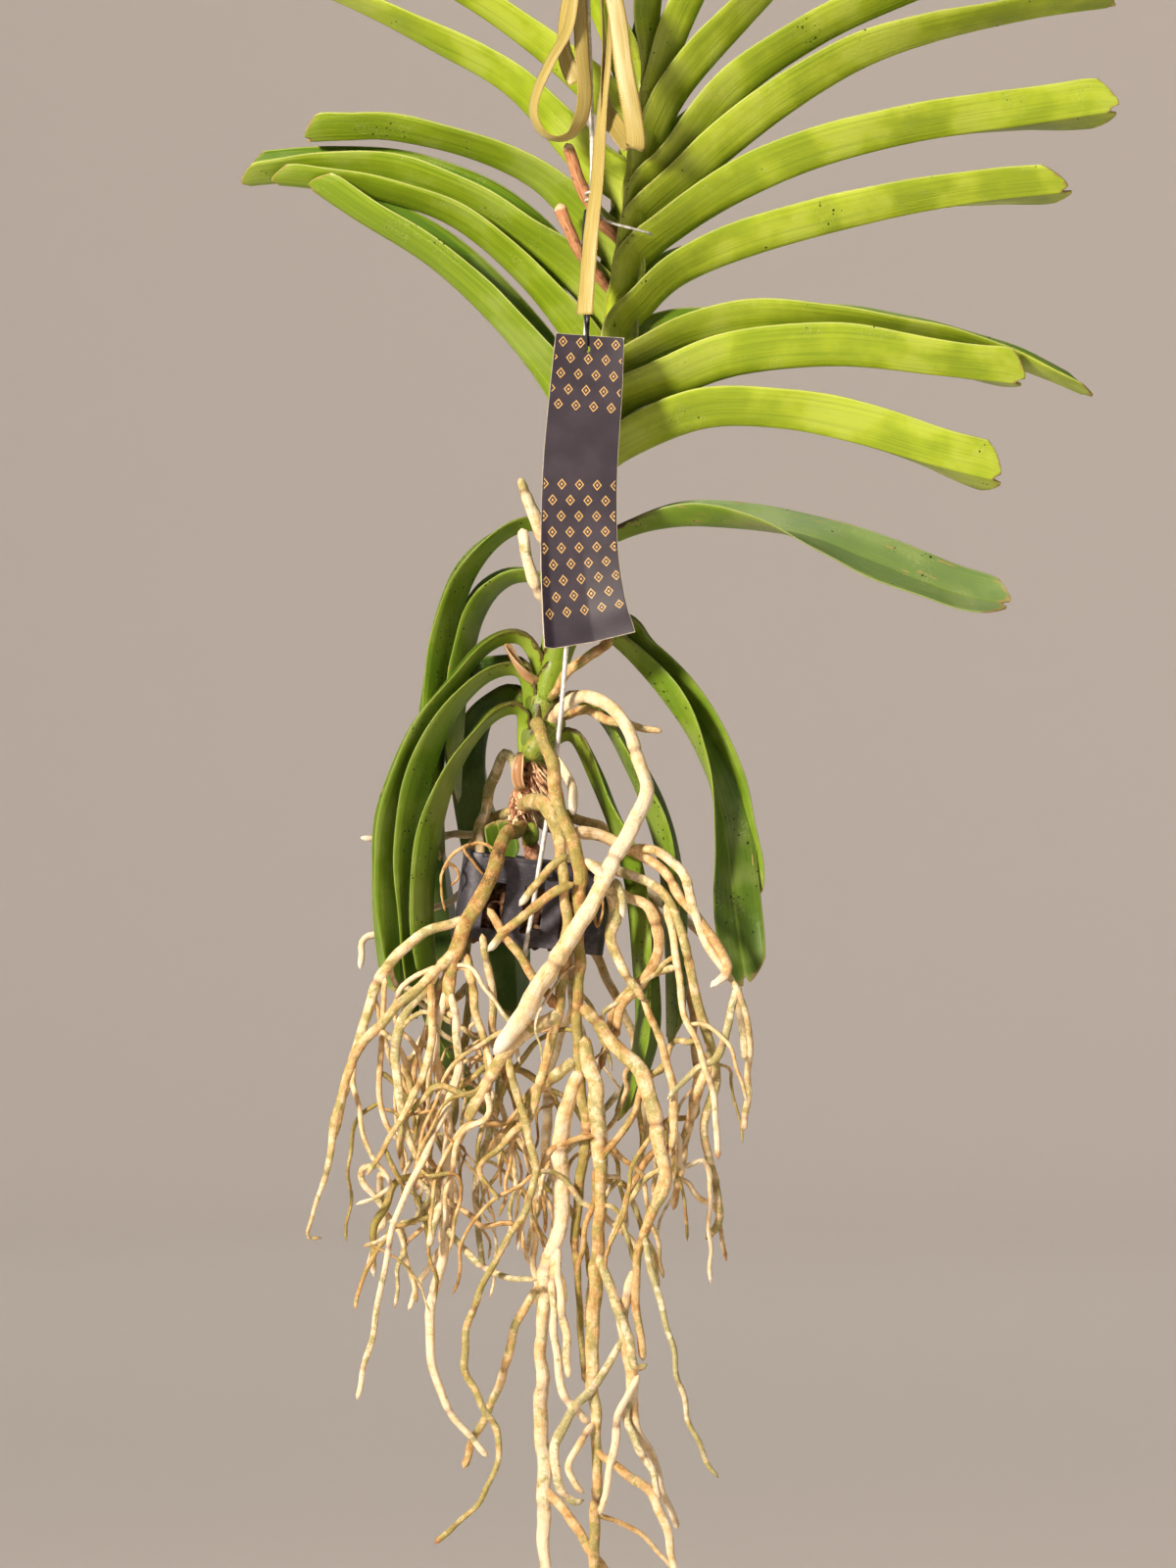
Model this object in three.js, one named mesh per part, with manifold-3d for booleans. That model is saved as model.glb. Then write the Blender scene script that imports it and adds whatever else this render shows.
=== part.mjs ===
// A vanda orchid rooted in a slatted net basket that hangs on a wire hanger.
// Millimetres, +Z up, +X to the right of the front, +Y towards the back.
// The origin is where the hanger's hook bears on the rail that it hangs from.
import * as THREE from 'three';
import { mergeVertices } from 'three/addons/utils/BufferGeometryUtils.js';
import Module from 'manifold-3d';

const wasm = await Module();
wasm.setup();

// ---------------------------------------------------------------- driving dimensions
const GAP = 0.3;                    // clearance between pieces that touch
const WIRE_RADIUS = 1.25;           // hanger rod
const PLANT_DEPTH = 32;             // the plane of the leaf fan, behind the rod
const KEEL_THICKNESS = 2.4;         // leaf blade along its midrib
const MARGIN_THICKNESS = 1.0;       // leaf blade at its edges
const LEAF_STEPS = 10;
const STEM_RADII = [4, 6.5, 7.5, 8, 8, 7.5, 7];
const SHEATH_COUNT = 13;            // leaf sheaths up the stem
const SHEATH_LENGTH = 33;
const SHEATH_RADII = [6.8, 8, 8.6]; // from a sheath's foot to its mouth
const SHEATH_LEAN = 4.5;            // how far its mouth leans out
const SHEATH_SPAN = [0.04, 0.97];   // the stretch of the stem that carries them
const BASKET_SIZE = 78;             // across the rim
const BASKET_HEIGHT = 44;
const BASKET_WALL = 1.8;
const BASKET_CENTRE = [-28, 42.5, -661];
const BASKET_TILT = THREE.MathUtils.degToRad(8);
const BASKET_CORNER = 10;           // radius of its upright corners
const SLOT_WIDTH = 10;              // side and floor slots
const SLOT_PITCH = 20;
const SLOT_HEIGHT = 24;
const FLOOR_SLOT_PITCH = 14;
const CLIP_SIZE = [6, 5.4, 4];      // moulded clips that hold the wire to the basket's front
const CLIP_PLACES = [[5.2, 16], [3.2, -14.6]];
const CORE_MARGIN = 6;              // the filling's core stands back from the walls
const CORE_HEIGHT = 15;
const CHIP_COUNT = 13;              // bark chips that show on top of the filling
const RIBBON_THICKNESS = 1;
const TAG_THICKNESS = 0.8;
const STRING_RADIUS = 0.7;
const TIE_RADIUS = 0.7;

// ---------------------------------------------------------------- colours and finishes
const finish = (color, roughness, metalness = 0) =>
  new THREE.MeshStandardMaterial({ color, roughness, metalness });
const FRESH_LEAF = finish('#a9c22e', 0.4);
const OLD_LEAF = finish('#4f7318', 0.45);
const STEM_GREEN = finish('#7d9a32', 0.5);
const ROOT = finish('#cbb082', 0.85);
const WHITE_ROOT = finish('#ecdcbf', 0.8);
const DRY_STEM = finish('#c98060', 0.85);
const STEEL = finish('#c8c6c2', 0.45, 0.9);
const BLACK_PLASTIC = finish('#4a4650', 0.5);
const BARK = finish('#6b4a35', 0.95);
const SATIN = finish('#c9a95a', 0.5);
const CARD = finish('#3f3540', 0.6);
const CORD = finish('#1d1a1c', 0.9);

// ---------------------------------------------------------------- solids
// A closed geometry becomes a solid that can be joined and cut.
function solidOf(geometry) {
  const bare = geometry.clone();
  bare.deleteAttribute('normal');
  bare.deleteAttribute('uv');
  const merged = mergeVertices(bare, 1e-4);
  return new wasm.Manifold(new wasm.Mesh({
    numProp: 3,
    vertProperties: new Float32Array(merged.attributes.position.array),
    triVerts: new Uint32Array(merged.index.array),
  }));
}

function geometryOf(solid) {
  const mesh = solid.getMesh();
  const geometry = new THREE.BufferGeometry();
  const places = [];
  for (let i = 0; i < mesh.vertProperties.length; i += mesh.numProp) {
    places.push(mesh.vertProperties[i], mesh.vertProperties[i + 1], mesh.vertProperties[i + 2]);
  }
  geometry.setAttribute('position', new THREE.Float32BufferAttribute(places, 3));
  geometry.setIndex(Array.from(mesh.triVerts));
  geometry.computeVertexNormals();
  return geometry;
}

// Rings of equal size, one after another, skinned into a closed body. The quads whose
// first corner is in `flipped` are split the other way, so that both faces of a blade match.
function skin(rings, flipped = []) {
  const size = rings[0].length;
  const places = rings.flat().flatMap((p) => [p.x, p.y, p.z]);
  const faces = [];
  for (let i = 0; i < rings.length - 1; i++) {
    for (let j = 0; j < size; j++) {
      const a = i * size + j;
      const b = i * size + (j + 1) % size;
      const c = b + size;
      const d = a + size;
      if (flipped.includes(j)) faces.push(a, b, d, b, c, d);
      else faces.push(a, b, c, a, c, d);
    }
  }
  const last = (rings.length - 1) * size;
  for (let j = 1; j < size - 1; j++) {
    faces.push(0, j + 1, j);
    faces.push(last, last + j, last + j + 1);
  }
  const geometry = new THREE.BufferGeometry();
  geometry.setAttribute('position', new THREE.Float32BufferAttribute(places, 3));
  geometry.setIndex(faces);
  return geometry;
}

const curveThrough = (points) =>
  new THREE.CatmullRomCurve3(points.map((p) => new THREE.Vector3(...p)), false, 'catmullrom', 0.5);

const mix = (a, b, t) => a + (b - a) * t;

// Reads a list of values, spread evenly from the start to the end, at t from 0 to 1.
function along(values, t) {
  const place = t * (values.length - 1);
  const i = Math.min(Math.floor(place), values.length - 2);
  return values.length === 1 ? values[0] : mix(values[i], values[i + 1], place - i);
}

// A round body with `sides` sides along a path. Radii are spread evenly along the points.
function tube(points, radii, { sides = 6, steps = points.length - 1, grow = 0, flat = 1 } = {}) {
  const curve = curveThrough(points);
  const rings = [];
  for (let i = 0; i <= steps; i++) {
    const t = i / steps;
    const centre = curve.getPoint(t);
    const forward = curve.getTangent(t);
    const across = new THREE.Vector3(0, 1, 0).cross(forward).normalize();
    if (across.lengthSq() < 0.5) across.set(1, 0, 0);
    const up = forward.clone().cross(across).normalize();
    const radius = along(radii, t) + grow;
    const ring = [];
    for (let j = 0; j < sides; j++) {
      const turn = (j + 0.5) / sides * 2 * Math.PI;
      ring.push(centre.clone()
        .addScaledVector(across, radius * Math.cos(turn))
        .addScaledVector(up, radius * flat * Math.sin(turn)));
    }
    rings.push(ring);
  }
  if (grow > 0) {
    const lead = curve.getTangent(0).multiplyScalar(-grow);
    const tail = curve.getTangent(1).multiplyScalar(grow);
    rings[0].forEach((p) => p.add(lead));
    rings[rings.length - 1].forEach((p) => p.add(tail));
  }
  return skin(rings);
}

// A flat band along a path. Each point is [x, y, z, turn]: at turn 0 the band shows its face
// to the front, at 90 its edge.
function band(points, widths, thickness, steps, grow = 0) {
  const curve = curveThrough(points.map((p) => p.slice(0, 3)));
  const turns = points.map((p) => THREE.MathUtils.degToRad(p[3] ?? 0));
  const rings = [];
  for (let i = 0; i <= steps; i++) {
    const t = i / steps;
    const centre = curve.getPoint(t);
    const forward = curve.getTangent(t);
    const across = new THREE.Vector3(0, 1, 0).cross(forward).normalize();
    across.applyAxisAngle(forward, along(turns, t));
    const out = forward.clone().cross(across).normalize();
    const halfWidth = along(widths, t) / 2 + grow;
    const halfDepth = thickness / 2 + grow;
    rings.push([[-1, -1], [1, -1], [1, 1], [-1, 1]].map(([u, v]) => centre.clone()
      .addScaledVector(across, u * halfWidth)
      .addScaledVector(out, v * halfDepth)));
  }
  return skin(rings, [0]);
}

// ---------------------------------------------------------------- leaves
// A strap leaf is a blade folded along its midrib. `rib` is the midrib's line. `half` is the
// width of one half. `open` is the angle between the halves and `roll` the lean of the fold
// towards the front, in degrees, both spread from the base to the tip.
const RIGHT = 1;
const LEFT = -1;

function leafWidth(t) {
  const base = mix(0.72, 1, THREE.MathUtils.smoothstep(t, 0, 0.3));
  const taper = mix(1, 0.8, THREE.MathUtils.smoothstep(t, 0.55, 0.9));
  const tip = Math.sqrt(Math.max(0, 1 - THREE.MathUtils.smoothstep(t, 0.86, 1) * 0.9));
  return base * taper * tip;
}

function leafBlade({ side, half, rib, open, roll }, grow = 0) {
  const curve = curveThrough(rib);
  const rings = [];
  for (let i = 0; i <= LEAF_STEPS; i++) {
    const t = i / LEAF_STEPS;
    const centre = curve.getPointAt(t);
    const forward = curve.getTangentAt(t);
    const front = new THREE.Vector3(0, -1, 0);
    front.addScaledVector(forward, -front.dot(forward)).normalize();
    const up = front.clone().cross(forward).multiplyScalar(side).normalize();
    const width = half * leafWidth(t) + grow;
    const lean = THREE.MathUtils.degToRad(along(roll, t));
    const spread = THREE.MathUtils.degToRad(along(open, t)) / 2;
    const thin = mix(1, 0.6, t);
    const keel = KEEL_THICKNESS * thin + 2 * grow;
    const rim = MARGIN_THICKNESS * mix(1, 0.8, t) + 2 * grow;
    const towards = (angle) => up.clone().multiplyScalar(Math.cos(angle))
      .addScaledVector(front, Math.sin(angle));
    const middle = towards(lean);
    const nearHalf = towards(lean + spread);
    const farHalf = towards(lean - spread);
    const nearOut = towards(lean + spread + Math.PI / 2);
    const farOut = towards(lean - spread - Math.PI / 2);
    const sink = Math.min(0.5 * keel / Math.sin(Math.max(spread, 0.4)), keel);
    const keelOut = centre.clone().addScaledVector(middle, -sink);
    const keelIn = centre.clone().addScaledVector(middle, sink);
    const nearEdge = centre.clone().addScaledVector(nearHalf, width);
    const farEdge = centre.clone().addScaledVector(farHalf, width);
    const near = [nearEdge.clone().addScaledVector(nearOut, rim / 2),
      nearEdge.clone().addScaledVector(nearOut, -rim / 2)];
    const far = [farEdge.clone().addScaledVector(farOut, rim / 2),
      farEdge.clone().addScaledVector(farOut, -rim / 2)];
    rings.push(side === LEFT ? [keelOut, near[0], near[1], keelIn, far[1], far[0]]
      : [keelOut, far[0], far[1], keelIn, near[1], near[0]]);
  }
  if (grow > 0) rings[0].forEach((p) => p.addScaledVector(curve.getTangentAt(0), -grow));
  if (grow > 0) rings[LEAF_STEPS].forEach((p) => p.addScaledVector(curve.getTangentAt(1), grow));
  return skin(rings, [2, 5]);
}
const FAN = PLANT_DEPTH;

const LEAVES = [
  // The right rank, from the top of the fan to the foot.
  { name: 'leaf_right_01', side: RIGHT, half: 17, age: 'fresh', open: [50, 90, 130], roll: [0, 5, 10],
    rib: [[30, FAN, -240], [36, FAN, -200], [45, FAN, -160], [62, FAN, -120], [84, FAN - 4, -88]] },
  { name: 'leaf_right_02', side: RIGHT, half: 19, age: 'fresh', open: [50, 90, 130], roll: [0, 0, -10],
    rib: [[31, FAN, -256], [46, FAN, -224], [62, FAN, -188], [84, FAN, -150], [110, FAN + 3, -118],
      [140, FAN + 6, -96]] },
  { name: 'leaf_right_03', side: RIGHT, half: 21, age: 'fresh', open: [50, 90, 140], roll: [0, 0, 10],
    rib: [[29, FAN, -275], [50, FAN, -245], [80, FAN, -210], [112, FAN, -177], [148, FAN, -148],
      [182, FAN - 4, -128]] },
  { name: 'leaf_right_04', side: RIGHT, half: 22, age: 'fresh', open: [50, 90, 140], roll: [0, 0, -12],
    rib: [[27, FAN, -298], [45, FAN, -284], [80, FAN, -245], [120, FAN, -217], [160, FAN, -198],
      [205, FAN + 4, -181], [242, FAN + 8, -173]] },
  { name: 'leaf_right_05', side: RIGHT, half: 23, age: 'fresh', open: [50, 90, 140], roll: [0, 0, -5],
    rib: [[26, FAN, -313], [60, FAN, -287], [100, FAN, -255], [140, FAN, -230], [180, FAN, -215],
      [230, FAN + 3, -203], [274, FAN + 8, -196]] },
  { name: 'leaf_right_06', side: RIGHT, half: 23, age: 'fresh', open: [50, 90, 115], roll: [0, -10, -47],
    rib: [[24, FAN, -333], [50, FAN, -315], [80, FAN, -297], [120, FAN, -280], [170, FAN, -267],
      [225, FAN - 3, -259], [274, FAN - 6, -252]] },
  { name: 'leaf_right_07', side: RIGHT, half: 22, age: 'fresh', open: [50, 90, 120], roll: [0, -6, -30],
    rib: [[18, FAN, -368], [30, FAN, -358], [50, FAN, -340], [90, FAN, -324], [150, FAN, -308],
      [200, FAN - 4, -299], [249, FAN - 8, -294]] },
  { name: 'leaf_right_08', side: RIGHT, half: 22, age: 'fresh', open: [45, 80, 130], roll: [0, 5, 10],
    rib: [[12, FAN, -394], [26, FAN, -384], [52, FAN, -373], [90, FAN, -366], [130, FAN + 2, -366],
      [170, FAN + 5, -371], [205, FAN + 8, -378], [235, FAN + 9, -388], [261, FAN + 10, -399]] },
  { name: 'leaf_right_09', side: RIGHT, half: 25, age: 'fresh', open: [50, 80, 110], roll: [0, -8, -30],
    rib: [[8, FAN, -416], [22, FAN, -406], [46, FAN, -398], [80, FAN, -387], [130, FAN - 2, -383],
      [180, FAN - 4, -388], [225, FAN - 6, -393]] },
  { name: 'leaf_right_10', side: RIGHT, half: 24, age: 'fresh', open: [50, 85, 115], roll: [0, -10, -48],
    rib: [[5, FAN + 1, -442], [22, FAN + 1, -430], [60, FAN, -415], [100, FAN, -415], [140, FAN, -423],
      [178, FAN, -434], [214, FAN + 2, -443]] },
  { name: 'leaf_right_11', side: RIGHT, half: 22, age: 'old', open: [50, 95, 165, 165],
    roll: [0, 2, 24, 24],
    rib: [[0, FAN + 1, -484], [16, FAN + 1, -475], [40, FAN, -468], [70, FAN, -466], [100, FAN, -469],
      [150, FAN - 4, -483], [182, FAN - 8, -494], [214, FAN - 10, -507]] },
  { name: 'leaf_right_12', side: RIGHT, half: 22, age: 'old', open: [50, 95, 110, 130],
    roll: [10, 70, 100, 100],
    rib: [[-6, FAN + 2, -510], [18, FAN + 5, -509], [42, FAN + 11, -532], [60, FAN + 14, -568],
      [70, FAN + 14, -612], [75, FAN + 13, -660], [77, FAN + 12, -703]] },
  { name: 'leaf_right_13', side: RIGHT, half: 20, age: 'old', open: [50, 100, 120], roll: [0, 10, 30],
    rib: [[-12, FAN + 2, -524], [4, FAN, -520], [26, FAN - 2, -536], [46, FAN - 3, -568],
      [57, FAN - 3, -612], [64, FAN - 2, -656], [75, FAN - 2, -698]] },
  { name: 'leaf_right_14', side: RIGHT, half: 19, age: 'old', open: [50, 95, 110], roll: [0, 8, 10],
    rib: [[-19, FAN + 4, -564], [-6, FAN + 6, -557], [8, FAN + 10, -568], [21, FAN + 12, -592],
      [31, FAN + 14, -616], [38, FAN + 14, -643], [41, FAN + 14, -680], [42, FAN + 14, -735]] },
  { name: 'leaf_right_15', side: RIGHT, half: 20, age: 'old', open: [50, 90, 110], roll: [0, 5, 10],
    rib: [[-22, FAN + 5, -580], [-8, FAN + 4, -577], [2, FAN, -597], [12, FAN - 4, -622],
      [20, FAN - 8, -650], [24, FAN - 10, -690], [25, FAN - 8, -730], [14, FAN - 6, -773]] },
  // The left rank, from the top of the fan to the foot.
  { name: 'leaf_left_01', side: LEFT, half: 17, age: 'fresh', open: [50, 90, 130], roll: [0, 5, 10],
    rib: [[17, FAN, -242], [4, FAN, -205], [-16, FAN, -168], [-46, FAN, -134], [-82, FAN - 3, -108]] },
  { name: 'leaf_left_02', side: LEFT, half: 20, age: 'fresh', open: [50, 90, 140], roll: [0, 0, 8],
    rib: [[21, FAN, -272], [-2, FAN, -246], [-32, FAN, -219], [-70, FAN, -193], [-115, FAN, -172],
      [-160, FAN - 4, -158]] },
  { name: 'leaf_left_03', side: LEFT, half: 21, age: 'fresh', open: [50, 90, 140], roll: [0, 2, 8],
    rib: [[18, FAN, -300], [-5, FAN, -284], [-40, FAN, -244], [-80, FAN, -220], [-118, FAN, -200],
      [-155, FAN, -185], [-192, FAN - 4, -177]] },
  { name: 'leaf_left_04', side: LEFT, half: 20, age: 'fresh', open: [50, 90, 110], roll: [4, 0, -20],
    rib: [[14, FAN, -332], [-2, FAN, -319], [-27, FAN, -292], [-60, FAN - 2, -276], [-100, FAN - 4, -267],
      [-125, FAN - 5, -267], [-146, FAN - 6, -268]] },
  { name: 'leaf_left_05', side: LEFT, half: 20, age: 'fresh', open: [50, 88, 130], roll: [4, 14, 20],
    rib: [[12, FAN, -364], [-4, FAN, -350], [-30, FAN, -325], [-60, FAN, -304], [-100, FAN + 1, -290],
      [-140, FAN + 2, -287], [-179, FAN + 3, -290]] },
  { name: 'leaf_left_06', side: LEFT, half: 19, age: 'fresh', open: [50, 96, 130], roll: [4, 10, 14],
    rib: [[7, FAN, -392], [-10, FAN, -372], [-35, FAN - 1, -340], [-70, FAN - 3, -311],
      [-110, FAN - 5, -297], [-142, FAN - 6, -292], [-163, FAN - 7, -290]] },
  { name: 'leaf_left_07', side: LEFT, half: 20, age: 'fresh', open: [50, 80, 90], roll: [4, 16, 24],
    rib: [[0, FAN, -430], [-20, FAN, -399], [-45, FAN - 2, -366], [-80, FAN - 5, -333],
      [-120, FAN - 9, -308], [-144, FAN - 11, -292]] },
  { name: 'leaf_left_08', side: LEFT, half: 20, age: 'old', open: [50, 90, 110], roll: [0, 5, 10],
    rib: [[-10, FAN + 2, -488], [-21, FAN + 4, -470], [-34, FAN + 9, -468], [-48, FAN + 16, -476],
      [-60, FAN + 23, -492], [-67, FAN + 28, -512], [-73, FAN + 33, -542], [-77, FAN + 36, -585],
      [-76, FAN + 36, -640]] },
  { name: 'leaf_left_09', side: LEFT, half: 17, age: 'old', open: [50, 90, 110], roll: [0, 5, 8],
    rib: [[-14, FAN + 2, -514], [-24, FAN + 5, -497], [-36, FAN + 12, -494], [-47, FAN + 20, -500],
      [-55, FAN + 26, -512], [-60, FAN + 30, -528], [-65, FAN + 34, -556], [-68, FAN + 36, -610]] },
  { name: 'leaf_left_10', side: LEFT, half: 21, age: 'old', open: [50, 90, 110], roll: [0, 5, 8],
    rib: [[-22, FAN + 3, -540], [-36, FAN + 3, -526], [-52, FAN + 3, -531], [-68, FAN + 3, -552],
      [-83, FAN + 2, -586], [-91, FAN + 1, -625], [-94, FAN, -662], [-96, FAN - 1, -707]] },
  { name: 'leaf_left_11', side: LEFT, half: 21, age: 'old', open: [50, 90, 110], roll: [0, 6, 10],
    rib: [[-25, FAN + 4, -558], [-36, FAN + 3, -544], [-51, FAN + 2, -545], [-66, FAN + 1, -562],
      [-77, FAN, -588], [-84, FAN - 1, -625], [-86, FAN - 2, -672], [-85, FAN - 3, -721]] },
  { name: 'leaf_left_12', side: LEFT, half: 19, age: 'old', open: [50, 90, 110], roll: [0, 6, 10],
    rib: [[-27, FAN + 5, -576], [-36, FAN + 2, -563], [-48, FAN, -565], [-60, FAN - 2, -580],
      [-69, FAN - 4, -600], [-76, FAN - 5, -632], [-77, FAN - 6, -680], [-68, FAN - 7, -724],
      [-50, FAN - 8, -766]] },
  { name: 'leaf_left_13', side: LEFT, half: 18, age: 'old', open: [60, 100, 120], roll: [0, -40, -60],
    rib: [[-28, FAN + 8, -566], [-40, FAN + 28, -556], [-52, FAN + 50, -568], [-56, FAN + 68, -592],
      [-52, FAN + 78, -622], [-46, FAN + 82, -650], [-40, FAN + 82, -690], [-38, FAN + 78, -726]] },
  { name: 'leaf_left_14', side: LEFT, half: 18, age: 'old', open: [60, 100, 120], roll: [0, -30, -40],
    rib: [[-22, FAN + 9, -552], [-38, FAN + 28, -541], [-58, FAN + 48, -548], [-74, FAN + 61, -575],
      [-80, FAN + 68, -612], [-77, FAN + 72, -650], [-72, FAN + 72, -700]] },
  { name: 'leaf_stub', side: LEFT, half: 9, age: 'old', open: [120, 150], roll: [60, 70],
    rib: [[-43, FAN + 6, -643], [-45, FAN + 6, -631], [-48, FAN + 6, -619]] },
];

// ---------------------------------------------------------------- stem
const STEM_LINE = [[30, 32, -232], [27, 32, -275], [22, 32, -320], [15, 32, -360], [6, 33, -400],
  [-1, 33, -450], [-8, 34, -500], [-16, 35, -530], [-22, 36, -552], [-28, 38, -586]];

// The stem with its leaf sheaths: cups that lean to the left and right by turns.
function stemSolid(grow = 0) {
  const line = curveThrough(STEM_LINE);
  let solid = solidOf(tube(STEM_LINE, STEM_RADII, { sides: 7, grow }));
  for (let i = 0; i < SHEATH_COUNT; i++) {
    const t = mix(...SHEATH_SPAN, i / (SHEATH_COUNT - 1));
    const foot = line.getPointAt(t);
    const side = i % 2 ? LEFT : RIGHT;
    const up = line.getTangentAt(t).negate();
    const head = foot.clone().addScaledVector(up, SHEATH_LENGTH * mix(0.7, 1, t));
    head.x += side * SHEATH_LEAN;
    const mid = foot.clone().lerp(head, 0.5);
    mid.x += side;
    const size = mix(0.75, 1, THREE.MathUtils.smoothstep(t, 0, 0.3));
    const radii = SHEATH_RADII.map((radius) => radius * size);
    const cup = tube([foot, mid, head].map((p) => p.toArray()), radii, { sides: 6, grow });
    solid = solid.add(solidOf(cup));
  }
  return solid;
}

// ---------------------------------------------------------------- old stem and roots
const THIN_ROOT = 3.2;               // below this radius a root has one side fewer
const OLD_STEM_LINE = [[-29, 38, -588.5], [-31, 38, -600], [-33, 39, -614], [-33, 40, -632], [-31, 41, -664]];
const OLD_STEM_RADII = [6, 7.5, 8.5, 7, 6];

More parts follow.
